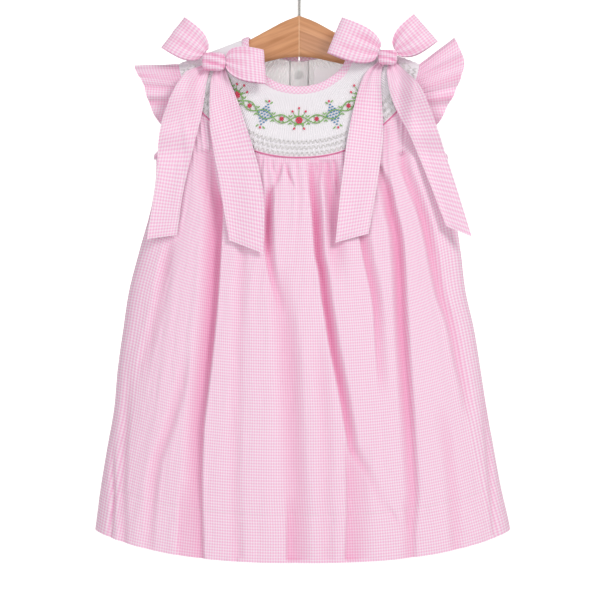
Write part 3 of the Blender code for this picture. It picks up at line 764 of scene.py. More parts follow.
@once
def beech(name):
    """Varnished beech: long grain along each arm, meeting in a glued joint at the centre, the right
    arm darkened as painted shade.
    """
    made, tree, surface = start(name, 0.38)
    place = add(tree, "ShaderNodeTexCoord").outputs["Object"]
    parts = add(tree, "ShaderNodeSeparateXYZ", {"Vector": place})
    reach = math(tree, "ABSOLUTE", parts.outputs["X"])
    level = math(tree, "MULTIPLY_ADD", reach, 0.42, parts.outputs["Z"])
    side = math(tree, "GREATER_THAN", parts.outputs["X"], 0.0)
    along = add(tree, "ShaderNodeCombineXYZ", {
        "X": math(tree, "MULTIPLY", reach, 9.0),
        "Y": math(tree, "MULTIPLY_ADD", parts.outputs["Y"], 90.0, math(tree, "MULTIPLY", side, 7.3)),
        "Z": math(tree, "MULTIPLY", level, 170.0),
    }).outputs["Vector"]
    lines = add(tree, "ShaderNodeTexNoise", {
        "Vector": along, "Scale": 1.0, "Detail": 5.0, "Distortion": 0.4
    }).outputs["Fac"]
    contrast = add(tree, "ShaderNodeMapRange", {
        "Value": lines, "From Min": 0.35, "From Max": 0.72
    }).outputs["Result"]
    grained = mixed(tree, contrast, settings().wood, settings().grain)
    # Painted shade: the right arm is darkened, for the shade on that side.
    shaded_right_arm = mixed(tree, math(tree, "MULTIPLY", side, 0.16), (1.0, 1.0, 1.0), (0.62, 0.50, 0.45))
    grain_and_shaded_arm = mixed(tree, 1.0, grained, shaded_right_arm, "MULTIPLY")
    glue = math(tree, "MULTIPLY", math(tree, "LESS_THAN", reach, 0.00045), 0.6)
    tree.links.new(mixed(tree, glue, grain_and_shaded_arm, linear("F0C9A4")), surface.inputs["Base Color"])
    bump = add(tree, "ShaderNodeBump", {"Height": contrast, "Strength": 0.12, "Distance": 0.0003})
    tree.links.new(bump.outputs["Normal"], surface.inputs["Normal"])
    surface.inputs["Coat Weight"].default_value = 0.35
    surface.inputs["Coat Roughness"].default_value = 0.22
    return made


@once
def drawn_steel(name):
    """Polished wire with faint drawn scratches along it."""
    made, tree, surface = start(name, 0.24)
    place = add(tree, "ShaderNodeTexCoord").outputs["Object"]
    marks = add(tree, "ShaderNodeTexNoise", {"Vector": place, "Scale": 900.0, "Detail": 3.0}).outputs["Fac"]
    dull = [shade * 0.8 for shade in settings().steel]
    tree.links.new(mixed(tree, marks, dull, settings().steel), surface.inputs["Base Color"])
    bump = add(tree, "ShaderNodeBump", {"Height": marks, "Strength": 0.1, "Distance": 0.0001})
    tree.links.new(bump.outputs["Normal"], surface.inputs["Normal"])
    surface.inputs["Metallic"].default_value = 1.0
    return made


@once
def pearl_shell(name):
    """Pearl buttons: cloudy layers in a glossy shell."""
    made, tree, surface = start(name, 0.22)
    place = add(tree, "ShaderNodeTexCoord").outputs["Object"]
    clouds = add(tree, "ShaderNodeTexNoise", {
        "Vector": place, "Scale": 240.0, "Detail": 2.0, "Distortion": 1.5
    }).outputs["Fac"]
    cool = [a * b for a, b in zip(settings().button, (0.86, 0.88, 0.92))]
    tree.links.new(mixed(tree, clouds, cool, settings().button), surface.inputs["Base Color"])
    surface.inputs["Coat Weight"].default_value = 0.5
    return made


@once
def backdrop(name):
    """Matte pale floor with the faintest unevenness."""
    made, tree, surface = start(name, 0.9)
    place = add(tree, "ShaderNodeTexCoord").outputs["Object"]
    tone = add(tree, "ShaderNodeTexNoise", {"Vector": place, "Scale": 1.5, "Detail": 2.0}).outputs["Fac"]
    low = [shade * 0.98 for shade in settings().floor]
    tree.links.new(mixed(tree, tone, low, settings().floor), surface.inputs["Base Color"])
    return made


# Mesh makers


def finish(name, bm, look, slot, nodes=(), sharp=60):
    """Make a smoothly shaded piece of a bmesh, which rides on the body and stands for its nodes."""
    bmesh.ops.recalc_face_normals(bm, faces=bm.faces[:])
    mesh = bpy.data.meshes.new(name)
    bm.to_mesh(mesh)
    bm.free()
    mesh.shade_smooth()
    mesh.set_sharp_from_angle(angle=radians(sharp))
    mesh.materials.append(look)
    piece = bpy.data.objects.new(name, mesh)
    bpy.context.scene.collection.objects.link(piece)
    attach(piece, "root")
    if nodes:
        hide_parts(*nodes)
    return piece


def cloth(name, across, along, place, look, slot, nodes, wall=None):
    """Shape a grid into a thin closed cloth. place(u, v) gives a point, its face and its threads, whose
    third part, where there is one, is the share of painted fold shade.
    """
    wall = settings().cloth * 1000 if wall is None else wall
    columns = len(across) - 1
    rows = len(along) - 1
    bm = bmesh.new()
    column = bm.verts.layers.int.new("column")
    row = bm.verts.layers.int.new("row")
    weave = bm.verts.layers.float_vector.new("weave")
    bmesh.ops.create_grid(bm, x_segments=columns, y_segments=rows, size=0.5)
    for vert in bm.verts:
        vert[column] = round((vert.co.x + 0.5) * columns)
        vert[row] = round((vert.co.y + 0.5) * rows)
    spots = [[place(u, v) for v in along] for u in across]
    grown = bmesh.ops.extrude_face_region(bm, geom=bm.faces[:], use_keep_orig=True)
    hidden = {item for item in grown["geom"] if isinstance(item, bmesh.types.BMVert)}
    for vert in bm.verts:
        point, face, threads = spots[vert[column]][vert[row]]
        vert.co = (point - face * wall if vert in hidden else point) * MM
        vert[weave] = Vector(threads if len(threads) == 3 else (*threads, 0))
    bm.verts.layers.int.remove(column)
    bm.verts.layers.int.remove(bm.verts.layers.int["row"])
    return finish(name, bm, look, slot, nodes)


def tube(bm, points, radii, sides):
    """Add a closed round strand along points, in millimetres, to a bmesh."""
    rings = []
    first = None
    last = len(points) - 1
    for k, point in enumerate(points):
        along = (points[min(k + 1, last)] - points[max(k - 1, 0)]).normalized()
        first = along.orthogonal() if first is None else first - along * first.dot(along)
        first.normalize()
        second = along.cross(first)
        turns = [2 * pi * side / sides for side in range(sides)]
        rings.append([
            bm.verts.new((point + (first * cos(t) + second * sin(t)) * radii[k]) * MM) for t in turns
        ])
    for near, far in zip(rings, rings[1:]):
        for side in range(sides):
            after = (side + 1) % sides
            bm.faces.new((near[side], near[after], far[after], far[side]))
    bm.faces.new(rings[0])
    bm.faces.new(rings[-1])


def band(name, rings, threads, look, slot, nodes):
    """Skin rings of points along a path, with the cloth's threads, and fill both ends."""
    bm = bmesh.new()
    weave = bm.verts.layers.float_vector.new("weave")
    loops = []
    for ring, marks in zip(rings, threads):
        loops.append([bm.verts.new(point * MM) for point in ring])
        for vert, mark in zip(loops[-1], marks):
            vert[weave] = Vector((mark[0], mark[1], 0))
    sides = len(loops[0])
    for near, far in zip(loops, loops[1:]):
        for side in range(sides):
            after = (side + 1) % sides
            bm.faces.new((near[side], near[after], far[after], far[side]))
    bm.faces.new(loops[0])
    bm.faces.new(loops[-1])
    return finish(name, bm, look, slot, nodes)


def seed(bm, centre, along, face, length, width, height):
    """Add one raised stitch, a small oval that lies on the cloth, to a bmesh."""
    along = (along - face * along.dot(face)).normalized()
    side = face.cross(along).normalized()
    turn = Matrix((along * length / 2, side * width / 2, face * height / 2)).transposed()
    made = bmesh.ops.create_icosphere(bm, subdivisions=2, radius=1.0)
    for vert in made["verts"]:
        vert.co = (centre + face * height * 0.3 + turn @ vert.co) * MM


def stitches(bm, path, pitch, length, radius):
    """Add a row of small stitches along a path of points and faces to a bmesh."""
    lengths = [0.0]
    for (near, _), (far, _) in zip(path, path[1:]):
        lengths.append(lengths[-1] + (far - near).length)
    count = int(lengths[-1] / pitch)
    spot = 0
    for k in range(count):
        ends = []
        for place in (k * pitch, k * pitch + length):
            while spot < len(path) - 2 and lengths[spot + 1] < place:
                spot += 1
            share = clamp((place - lengths[spot]) / max(lengths[spot + 1] - lengths[spot], 1e-6))
            ends.append((mix(path[spot][0], path[spot + 1][0], share), path[spot][1]))
        (near, face), (far, _) = ends
        lift = face * radius * 0.9
        points = [near - lift, mix(near, far, 0.2) + lift, mix(near, far, 0.8) + lift, far - lift]
        tube(bm, points, (radius * 0.6, radius, radius, radius * 0.6), 5)


def loose(place, scale, seed_place):
    """Smooth unevenness, -1 to 1, stretched along the hanging cloth."""
    return noise(Vector((place[0] * scale[0], place[1] * scale[1], seed_place)))


# Bodice


def pleat(angle, radius, seam):
    """Height of the bib's fine pleats, drawn together in a honeycomb along the lower edge."""
    turn = (angle / SHOULDER_ANGLE + 1) * PLEATS
    band_share = smooth((radius - (seam - SMOCK_BAND)) / 3) * smooth((seam - 1.5 - radius) / 2)
    pair = 1 if floor(turn) % 2 else -1
    wander = 0.24 * pair * sin(2 * pi * (seam - radius) / SMOCK_CELL) * band_share
    crest = 0.5 - 0.5 * cos(2 * pi * (turn + wander))
    height = mix(FINE_PLEAT, PLEAT_HEIGHT, band_share)
    uneven = 0.75 + 0.5 * abs(noise(Vector((turn * 0.37, radius * 0.03, 5.1))))
    return height * crest ** 1.3 * uneven


def bib_spot(angle, radius):
    """A point on the finished bib, with its face and threads."""
    neck = read(BIB, abs(angle), NECK[FRONT])
    seam = read(BIB, abs(angle), SEAM)
    x, z = polar(angle, radius)
    face = normal(x, z, FRONT)
    flat = smooth((radius - neck) / 5) * smooth((seam - radius) / 1.5)
    soft = 0.5 * noise(Vector((x * 0.03, z * 0.03, 2.2)))
    out = pleat(angle, radius, seam) * flat + soft * flat
    return on_body(x, z, FRONT) + face * out, face, (radians(angle) * 120, radius)


def bib_front():
    def place(u, v):
        angle = u * SHOULDER_ANGLE
        neck = read(BIB, abs(angle), NECK[FRONT]) - 1.0
        return bib_spot(angle, mix(neck, read(BIB, abs(angle), SEAM), v))

    across = steps(PLEATS * 14, -1, 1)
    cloth("bib_front", across, steps(44), place, white_batiste(), "bib_cloth", ("yoke_front",))


def bib_back(name, hand):
    """Half of the back bodice, gathered lightly under the binding."""
    def place(u, v):
        angle = u * SHOULDER_ANGLE
        for _ in range(3):
            neck = read(BIB, angle, NECK[BACK]) - 1.0
            radius = mix(neck, read(BIB, angle, SEAM), v)
            begin = degrees(asin((PLACKET_HALF - 1.5) / radius))
            angle = mix(begin, SHOULDER_ANGLE, u)
        x, z = polar(hand * angle, radius)
        face = normal(x, z, BACK)
        turn = angle / 68 * 19 + 0.8 * noise(Vector((angle * 0.08, hand * 3.0, 1.0)))
        fold = (0.5 - 0.5 * cos(2 * pi * turn)) ** 2
        reach = smooth(v / 0.08) * (1 - 0.75 * smooth(v * 1.4)) * smooth(8 * (1 - u)) * smooth(8 * u)
        out = 0.9 * fold * reach + 0.6 * noise(Vector((x * 0.03, z * 0.03, 8.2))) * smooth(6 * (1 - u))
        return on_body(x, z, BACK) + face * (out - 0.4), face, (radians(angle) * 120, radius)

    node = name.replace("bib_back", "back")
    cloth(name, steps(180), steps(60), place, sheer_batiste(), "bib_cloth", (node,))


def placket():
    """The button placket, its folded edges a little raised."""
    top = read(BIB, 0, NECK[BACK]) - SHOULDER_TOP - 0.5
    bottom = read(BIB, 0, SEAM) - SHOULDER_TOP - 0.6

    def place(u, v):
        x = u * PLACKET_HALF
        z = -mix(top, bottom, v)
        face = normal(x, z, BACK)
        edge = smooth((1 - abs(u)) * 9)
        out = PLACKET_RISE * edge + 0.25 * smooth((abs(u) - 0.62) * 8) * edge
        out += 0.15 * noise(Vector((x * 0.2, z * 0.08, 4.0)))
        return on_body(x, z, BACK, 0) + face * out, face, (x, z)

    across = steps(40, -1, 1)
    cloth("placket", across, steps(110), place, sheer_batiste(), "bib_cloth", ("back_placket",), 1.4)
    bm = bmesh.new()
    for side in (-1, 1):
        path = []
        for v in steps(60, 0.02, 0.98):
            point, face, _ = place(side * 0.8, v)
            path.append((point, face))
        stitches(bm, path, 2.4, 1.7, settings().thread * 1000)
    finish("placket_stitches", bm, floss("floss_white"), "bib_cloth")


def button(name, drop, node):
    """A pearl button with a rim and a dished middle, sewn on with two strands of thread."""
    bm = bmesh.new()
    profile = ((0.0, 0.9), (0.25, 0.9), (0.55, 1.0), (0.72, 1.5), (0.88, 1.6), (0.97, 1.2), (1.0, 0.6),
               (0.94, 0.1), (0.8, 0.0), (0.0, 0.0))
    verts = [bm.verts.new((share * BUTTON_RADIUS, 0, rise)) for share, rise in profile]
    edges = [bm.edges.new(pair) for pair in zip(verts, verts[1:])]
    bmesh.ops.spin(
        bm, geom=verts + edges, axis=(0, 0, 1), cent=(0, 0, 0), steps=48, angle=2 * pi, use_merge=True
    )
    bmesh.ops.remove_doubles(bm, verts=bm.verts, dist=1e-5)
    seat = on_body(0, -drop, BACK, PLACKET_RISE + 0.5)
    turn = normal(0, -drop, BACK).to_track_quat("Z", "Y").to_matrix()
    for vert in bm.verts:
        vert.co = (turn @ vert.co + seat) * MM
    finish(name, bm, pearl_shell(), "button", (node,), 40)
    sewn = bmesh.new()
    for side in (-1, 1):
        strand = [(side * 1.1, way * 1.1, 0.7 + 0.55 * (1 - way * way)) for way in steps(8, -1, 1)]
        points = [seat + turn @ Vector(point) for point in strand]
        tube(sewn, points, [0.28] * 9, 6)
    finish(name + "_thread", sewn, floss("floss_white"), "button")


def label():
    """The bare woven label inside the back, sewn down along its top."""
    def place(u, v):
        x = mix(*LABEL_SPAN, u)
        z = -mix(*LABEL_DROPS, v)
        face = -normal(x, z, BACK)
        curl = 0.8 * v ** 2 + 0.3 * sin(pi * u) * v
        return on_body(x, z, BACK, -1.5) + face * curl, face, (x, z)

    cloth("woven_label", steps(28), steps(20), place, label_satin(), "bib_cloth", ("label",), 0.4)
    bm = bmesh.new()
    path = [place(u, 0.08)[:2] for u in steps(20, 0.03, 0.97)]
    stitches(bm, path, 2.0, 1.4, settings().thread * 1000)
    finish("label_stitches", bm, floss("floss_white"), "bib_cloth")


def neck_path(count_front, count_back):
    """Angles and sides along the neck, from the centre back round the front to the centre back."""
    behind = [1.0] + [SHOULDER_ANGLE * k / count_back for k in range(1, count_back)]
    front = [SHOULDER_ANGLE * sin(pi / 2 * k / count_front) for k in range(-count_front, count_front + 1)]
    path = [(-angle, BACK) for angle in behind]
    path += [(angle, FRONT) for angle in front]
    path += [(angle, BACK) for angle in reversed(behind)]
    return path


def neck_binding():
    """The bias band on the neck edge: padded, slightly puckered, checks running slantwise."""
    shape = []
    for k in range(16):
        turn = 2 * pi * (k + 0.5) / 16
        share = 0.5 + 0.5 * cos(turn) * abs(cos(turn)) ** -0.35
        shape.append((share, -0.5 + 1.5 * sin(turn) * abs(sin(turn)) ** -0.2))
    rings = []
    threads = []
    run = 0.0
    before = None
    for angle, side in neck_path(110, 50):
        neck = read(BIB, abs(angle), NECK[side]) + 0.4
        ring = []
        marks = []
        middle_point = on_bib(angle, neck - BINDING_WIDTH / 2, side)
        run += (middle_point - before).length if before is not None else 0.0
        before = middle_point
        pucker = 0.22 * noise(Vector((run * 0.33, 0.0, 1.7))) + 0.12 * sin(run * 1.9)
        for share, out in shape:
            ring.append(on_bib(angle, neck - BINDING_WIDTH * share, side, out + pucker * (out > 0)))
            wide = BINDING_WIDTH * share
            marks.append(((run + wide) * 0.7071, (run - wide) * 0.7071))
        rings.append(ring)
        threads.append(marks)
    band("neck_band", rings, threads, pink_gingham(), "gingham", ("neck_binding",))
    bm = bmesh.new()
    path = []
    for angle, side in neck_path(90, 40):
        neck = read(BIB, abs(angle), NECK[side]) - 1.3
        point = on_bib(angle, neck, side, 0.75)
        path.append((point, normal(*polar(angle, neck), side)))
    stitches(bm, path, 2.3, 1.5, settings().thread * 1000)
    finish("neck_stitches", bm, floss("floss_white"), "gingham")


def bib_piping():
    """The thin corded piping over the bib's seam."""
    points = []
    for angle in steps(150, -SEAM_ANGLE, SEAM_ANGLE):
        points.append(on_bib(angle, read(BIB, abs(angle), SEAM) + GAP / 2, FRONT, 0.55))
    bm = bmesh.new()
    tube(bm, points, [0.85] * len(points), 10)
    finish("piping", bm, floss("piping"), "gingham", ("yoke_piping",))


# Embroidery


def on_pleats(angle, radius, lift):
    point, face, _ = bib_spot(angle, radius)
    seam = read(BIB, abs(angle), SEAM)
    return point + face * (lift - pleat(angle, radius, seam) + FINE_PLEAT), face


def row_radius(angle, share):
    """A line that follows the bib's curve, at a share of the way from neck to seam."""
    return mix(read(BIB, abs(angle), NECK[FRONT]), read(BIB, abs(angle), SEAM), share)


def smocking_rows():
    """White stitches that hold the pleats: three zigzag rows over the honeycomb."""
    bm = bmesh.new()
    radius = settings().floss * 1000 * 0.8
    for number, down in enumerate(SMOCK_ROWS):
        points = []
        for k in range(PLEATS * 4 + 1):
            angle = (k / (PLEATS * 4) * 2 - 1) * (SHOULDER_ANGLE - 3)
            way = SMOCK_ZIGZAG * (1 if (k + 2 * number) % 4 < 2 else -1)
            place_radius = read(BIB, abs(angle), SEAM) - down + way
            points.append(on_bib(angle, place_radius, FRONT, PLEAT_HEIGHT * 0.8 + radius))
        tube(bm, points, [radius] * len(points), 6)
    finish("smocking_rows", bm, floss("floss_white"), "bib_cloth")


def vine_angle_radius(step, phase):
    angle = (step * 2 - 1) * VINE_REACH
    wave = VINE_WAVE * cos(pi * (angle / VINE_CELL + phase))
    return angle, row_radius(angle, VINE_SHARE) + wave


def vine():
    """Two crossing green waves, which make a chain of eye shapes along the bib."""
    bm = bmesh.new()
    radius = settings().floss * 1000
    for phase in (0, 1):
        points = []
        for step in steps(420):
            point, face = on_pleats(*vine_angle_radius(step, phase), radius + 0.2 + 0.3 * phase)
            points.append(point)
        tube(bm, points, [radius] * len(points), 6)
    number = int(VINE_REACH / VINE_CELL)
    for k in range(-number, number):
        angle = (k + 0.5) * VINE_CELL
        middle_radius = row_radius(angle, VINE_SHARE)
        for way in (-1, 1):
            point, face = on_pleats(angle, middle_radius + way * 3.0, 0.6)
            for lean in (-1, 1):
                along = Vector((lean * 0.8, 0, -way * 0.9))
                leaf = point + along.normalized() * 1.5
                seed(bm, leaf, along, face, 3.4, 1.3, 0.9)
    finish("vine", bm, floss("leaf"), "bib_cloth")


def around(angle, radius, across, up, lift=0.5):
    """A place on the bib, moved across and up in millimetres from another, with its face."""
    return on_pleats(angle + degrees(across / radius), radius - up, lift)


def rose(red, green, angle, radius, size_share):
    """A round rose of two rings of petals, between leaves."""
    for petals, ring, long, wide in ((6, 2.5, 2.9, 2.0), (3, 0.9, 1.9, 1.6)):
        for number in range(petals):
            turn = 2 * pi * number / petals + ring
            place = around(angle, radius, ring * size_share * sin(turn), ring * size_share * cos(turn), 0.5)
            along = Vector((cos(turn), 0, -sin(turn)))
            seed(red, place[0], along, place[1], long * size_share, wide * size_share, 1.5)
    for turn in (40, 140, 220, 320):
        reach = 5.0 * size_share
        point, face = around(angle, radius, reach * sin(radians(turn)), reach * cos(radians(turn)), 0.4)
        along = Vector((sin(radians(turn)), 0, cos(radians(turn))))
        seed(green, point, along, face, 4.2 * size_share, 1.7 * size_share, 1.0)


def spray(red, green, angle, radius):
    """A rose with buds on curved stems above and below it."""
    rose(red, green, angle, radius, 1.15)
    for lean, rise in ((-7.0, 8.5), (0.0, 12.0), (7.0, 8.5), (-4.5, -8.5), (4.5, -8.5)):
        stem = []
        for share in steps(10, 0.25, 1):
            bend = 0.6 * sin(pi * share) * (1 if lean > 0 else -1)
            point, _ = around(angle, radius, lean * share + bend, rise * share, 0.3)
            stem.append(point)
        tube(green, stem, [settings().floss * 600] * len(stem), 6)
        point, face = around(angle, radius, lean * 1.12, rise * 1.12, 0.5)
        seed(red, point, Vector((lean, 0, rise)), face, 3.0, 2.3, 1.6)


def diamond(blue, red, green, angle, radius):
    """A diamond of seed stitches with a bud and two leaves at its foot and its head."""
    for line, count in enumerate((1, 2, 3, 4, 5, 4, 3, 2, 1)):
        for spot in range(count):
            point, face = around(angle, radius, (spot - (count - 1) / 2) * 3.5, (line - 4) * 2.9, 0.4)
            seed(blue, point, Vector((1, 0, 0)), face, 2.5, 1.7, 1.2)
    for way in (-1, 1):
        point, face = around(angle, radius, 0, way * 15.5, 0.5)
        seed(red, point, Vector((0, 0, 1)), face, 2.9, 2.3, 1.6)
        for lean in (-1, 1):
            point, face = around(angle, radius, lean * 3.4, way * 14.4, 0.4)
            seed(green, point, Vector((lean, 0, way * 0.9)), face, 4.0, 1.6, 1.0)


def blossoms():
    """Rose sprays and blue seed diamonds by turns along the vine, with small roses between."""
    red = bmesh.new()
    blue = bmesh.new()
    green = bmesh.new()
    number = int(VINE_REACH / VINE_CELL)
    for k in range(-number, number + 1):
        angle = k * VINE_CELL
        radius = row_radius(angle, VINE_SHARE)
        if k % 4 == 0:
            spray(red, green, angle, radius)
        elif k % 2 == 0:
            diamond(blue, red, green, angle, radius)
        else:
            rose(red, green, angle, radius, 0.72)
    finish("roses", red, floss("rose"), "bib_cloth")
    finish("seed_diamonds", blue, floss("sky"), "bib_cloth")
    finish("leaves", green, floss("leaf"), "bib_cloth")


# Skirt


def gathers(u, v):
    """The small gathers under the bib's seam: sharp crests of uneven length, finer ones between."""
    turn = (u + SEAM_SHARE) / (2 * SEAM_SHARE) * GATHERS
    edge = smooth((SEAM_SHARE + 0.02 - abs(u)) / 0.04)
    run = GATHER_RUN * (1 + 0.45 * sin(2.4 * turn)) * (0.9 + 0.5 * noise(Vector((turn * 0.6, 0, 4.0))))
    crest = (0.5 + 0.5 * cos(2 * pi * (turn - 1 / 3))) ** 1.5 * 1.35 - 0.35
    broad = GATHER_HEIGHT * crest * smooth(v / 0.028) * clamp(1 - v / run) ** 1.5
    small = sin(2 * pi * (turn * 2.3 + 0.5 * noise(Vector((turn, 0, 9.0)))))
    fine = 0.42 * small * smooth(v / 0.008) * clamp(1 - v / 0.10) ** 2
    return (broad + fine) * edge


def crease_depth(x, drop):
    """How deep the front's folds and creases lie at a place of the front view."""
    depth = 0.0
    for left, right, rows in CREASES:
        if rows[0][0] <= drop <= rows[-1][0]:
            away = x - read(rows, drop, 1)
            share = away / (right if away > 0 else left)
            if abs(share) < 1:
                depth += read(rows, drop, 2) * (1 - share ** 2) ** 2
    return depth


def drape(u, v, from_hem, seed_place):
    """Soft unevenness of hanging cotton: long swells, slanting creases and puckers at the hem line."""
    swell = settings().wrinkle * 1000
    crease = settings().crease * 1000
    free = smooth(v * 5)
    out = swell * loose((u, v), (7.0, 1.2), seed_place) * free
    out += 0.6 * swell * loose((u, v), (17.0, 2.0), seed_place + 3) * free
    slant = (u + 0.20 * v, v)
    out += crease * loose(slant, (34.0, 11.0), seed_place + 5) * free
    out += 0.6 * crease * loose((u - 0.3 * v, v), (60.0, 24.0), seed_place + 8) * free
    line = settings().hem * 1000
    away = from_hem - line
    pucker = 0.16 * sin(u * 390 + 3 * noise(Vector((u * 30, 0, 2)))) * (1 if away < 0 else 0.6)
    out += pucker * clamp(1 - abs(away) / 9.0) ** 2
    out += 0.35 * smooth(-away / 1.2) - 0.45 * clamp(1 - abs(away) / 1.1)
    out += 0.30 * noise(Vector((u * 55, from_hem * 0.02, seed_place))) * smooth(1 - from_hem / line)
    return out


def skirt_spot(u, s, side, seed_place):
    """A point of a skirt panel. s runs to 0.8 over the panel and on to 1 through the hem."""
    top_x, top_z = skirt_top(u)
    top_share = (top_x - read(BODY, -top_z, CENTRE)) / read(BODY, -top_z, HALF)
    hem_share = across_hem(u)
    hem_z = -(HEM_DROP - HEM_RISE * abs(hem_share) ** HEM_POWER)
    length = top_z - hem_z
    hem_zone = settings().hem * 1000 + 8
    from_hem = hem_zone * (1 - s) / 0.2 if s > 0.8 else length - (length - hem_zone) * s / 0.8
    v = 1 - from_hem / length
    share = mix(clamp(top_share, -1, 1), hem_share, v)
    z = mix(top_z, hem_z, v)
    x = read(BODY, -z, CENTRE) + share * read(BODY, -z, HALF)
    face = normal(x, z, side)
    face.y *= 1 - smooth((abs(share) - 0.96) / 0.04)
    face.normalize()
    loosened = smooth((1 - abs(u)) * 14)
    deep = crease_depth(x, -z) * smooth(v / 0.02) if side == FRONT else fold_depth(u, v, BACK_FOLDS)
    out = gathers(u, v) - deep + drape(u, v, from_hem, seed_place) * loosened
    # Painted shade: the share of fold pink, deeper in the front's creases, the back's folds and the troughs
    # between the gathers.
    fold_shaded = clamp(deep / 11) + 0.35 * clamp(-gathers(u, v) / 0.6)
    return on_body(x, z, side) + face * out, face, (u * PANEL_HALF, from_hem, clamp(fold_shaded))


def skirt(name, side, seed_place, columns, rows, node):
    """One skirt panel, with its hem turned up and sewn."""
    hem_rows = [0.8 + 0.2 * k / 30 for k in range(1, 31)]
    upper = [0.8 * (0.6 * k / rows + 0.4 * (k / rows) ** 2) for k in range(rows + 1)]

    def place(u, s):
        return skirt_spot(u, s, side, seed_place)

    piece = cloth(name, steps(columns, -1, 1), upper + hem_rows, place, pink_gingham(), "gingham", (node,))
    bm = bmesh.new()
    line = 1 - 0.2 * settings().hem * 1000 / (settings().hem * 1000 + 8)
    path = [place(u, line)[:2] for u in steps(500, -0.995, 0.995)]
    raised = [(point + face * 0.1, face) for point, face in path]
    stitches(bm, raised, *HEM_STITCH, settings().thread * 1000)
    finish(name + "_stitches", bm, floss("floss_white"), "gingham")


# Armholes


def ruffle_spot(u, v, hand):
    t = 2 * u - 1
    root = arm_edge(t, hand)
    along = (arm_edge(min(t + 0.02, 1), hand) - arm_edge(max(t - 0.02, -1), hand)).normalized()
    tip = RUFFLE_TIP[hand] * clamp(1 - abs(t) / 0.34)
    lift = radians(mix(RUFFLE_LIFT[hand], -RUFFLE_FALL, t ** 2) + tip)
    splay = radians(RUFFLE_SPLAY) * smooth(3 * t)
    out = Vector((hand * cos(lift) * cos(splay), sin(splay), sin(lift) * cos(splay)))
    face = along.cross(out).normalized()
    drift = 1.1 * noise(Vector((u * 6, hand, 3)))
    share = 0.62 + 0.75 * noise(Vector((u * 8, hand, 7)))
    wave = RUFFLE_WAVE * share * sin(2 * pi * RUFFLE_WAVES * u + 0.6 + 2 * drift) * v ** 0.8
    turn = u * RUFFLE_WAVES * 3.4 + 0.6 * noise(Vector((u * 9, 0, hand)))
    wave += 0.55 * sin(2 * pi * turn) * smooth(v / 0.05) * (1 - 0.8 * smooth(v * 1.6))
    wave += 0.9 * noise(Vector((u * 12, v * 2, 5 + hand))) * v
    hem = 0.3 * smooth((v - 0.93) / 0.02)
    fuller = 1 + RUFFLE_FULL[hand] * smooth(1 - abs(abs(t) - 0.42) / 0.46)
    depth = RUFFLE_DEPTH * fuller * (1 - RUFFLE_TAPER * abs(t) ** 3) * v
    point = root + out * (depth - 0.3 * (1 - v)) + face * (wave + hem)
    # Painted shade: the third thread part darkens the gingham in the troughs of the waves and towards the
    # armhole seam.
    return point, face, (u * RUFFLE_CUT[0] / MM, depth, 0.55 * clamp(-wave / 2.6) + 0.2 * (1 - v) ** 2)


def ruffle(name, hand):
    """A flutter sleeve, finely gathered at the armhole, with a narrow turned hem."""
    def place(u, v):
        point, face, threads = ruffle_spot(u, v, hand)
        return point + face * 0.3, face, threads

    rows = steps(30, 0, 0.9) + [0.92, 0.93, 0.94, 0.96, 0.98, 1.0]
    piece = cloth(name + "_sleeve", steps(320), rows, place, pink_gingham(), "gingham", (name,))
    bm = bmesh.new()
    path = [place(u, 0.93)[:2] for u in steps(260, 0.01, 0.99)]
    raised = [(point + face * 0.15, face) for point, face in path]
    stitches(bm, raised, *EDGE_STITCH, settings().thread * 1000)
    finish(name + "_stitches", bm, floss("floss_white"), "gingham")


def arm_binding(name, hand):
    """The rolled edge under the arm."""
    ways = steps(40, RUFFLE_ENDS, 0.95)
    path = [(way, FRONT) for way in ways] + [(1.0, FRONT)] + [(way, BACK) for way in reversed(ways)]
    rings = []
    threads = []
    points = []
    for way, side in path:
        x, z = armhole(way, hand)
        before_x, before_z = armhole(way - 0.05, hand)
        ahead = Vector((x - before_x, 0, z - before_z)).normalized()
        off = Vector((-hand * ahead.z, 0, hand * ahead.x))
        seat = on_body(x, z, side)
        seat.y -= facing(side) * SKIRT_WALL / 2 * (1 - smooth((way - 0.8) / 0.2))
        points.append(seat + off * 1.2)
    last = len(points) - 1
    run = 0.0
    first = None
    for k, point in enumerate(points):
        along = (points[min(k + 1, last)] - points[max(k - 1, 0)]).normalized()
        first = along.orthogonal() if first is None else first - along * first.dot(along)
        first.normalize()
        second = along.cross(first)
        run += (point - points[max(k - 1, 0)]).length
        turns = [2 * pi * side / 12 for side in range(12)]
        rings.append([point + (first * cos(t) + second * sin(t)) * 1.5 for t in turns])
        threads.append([((run + t) * 0.7071, (run - t) * 0.7071) for t in turns])
    band(name + "_edge", rings, threads, pink_gingham(), "gingham", (name,))


# Bows


def knot(name, place, node):
    """The knot: a short band of ribbon, crumpled where it is pulled tight."""
    x, z, half_width, half_height = place
    back = knot_back(place)
    extent = Vector((half_width, KNOT_THICK / 2, half_height))
    bm = bmesh.new()
    weave = bm.verts.layers.float_vector.new("weave")
    bmesh.ops.create_uvsphere(bm, u_segments=96, v_segments=48, radius=1.0)
    for vert in bm.verts:
        point = Vector([(1 if c > 0 else -1) * abs(c) ** 0.62 for c in vert.co])
        folds = 0.15 * sin(7 * point.z + 2.2 * point.x) + 0.12 * noise(point * 2.3 + Vector((x, 0, 0)))
        pinch = 1 + (folds - 0.05) * abs(point.y)
        waist = 1 - 0.10 * (1 - point.x ** 2)
        vert.co = Vector((
            x + point.x * extent.x,
            back - extent.y + point.y * extent.y * pinch,
            z + point.z * extent.z * waist,
        )) * MM
        # Painted shade: the third part darkens the whole knot a little, and more where it creases in.
        vert[weave] = Vector((point.x * extent.x, point.z * extent.z * 1.1, clamp(0.3 - 4 * folds)))
    finish(name, bm, pink_gingham(), "ribbon", (node,))


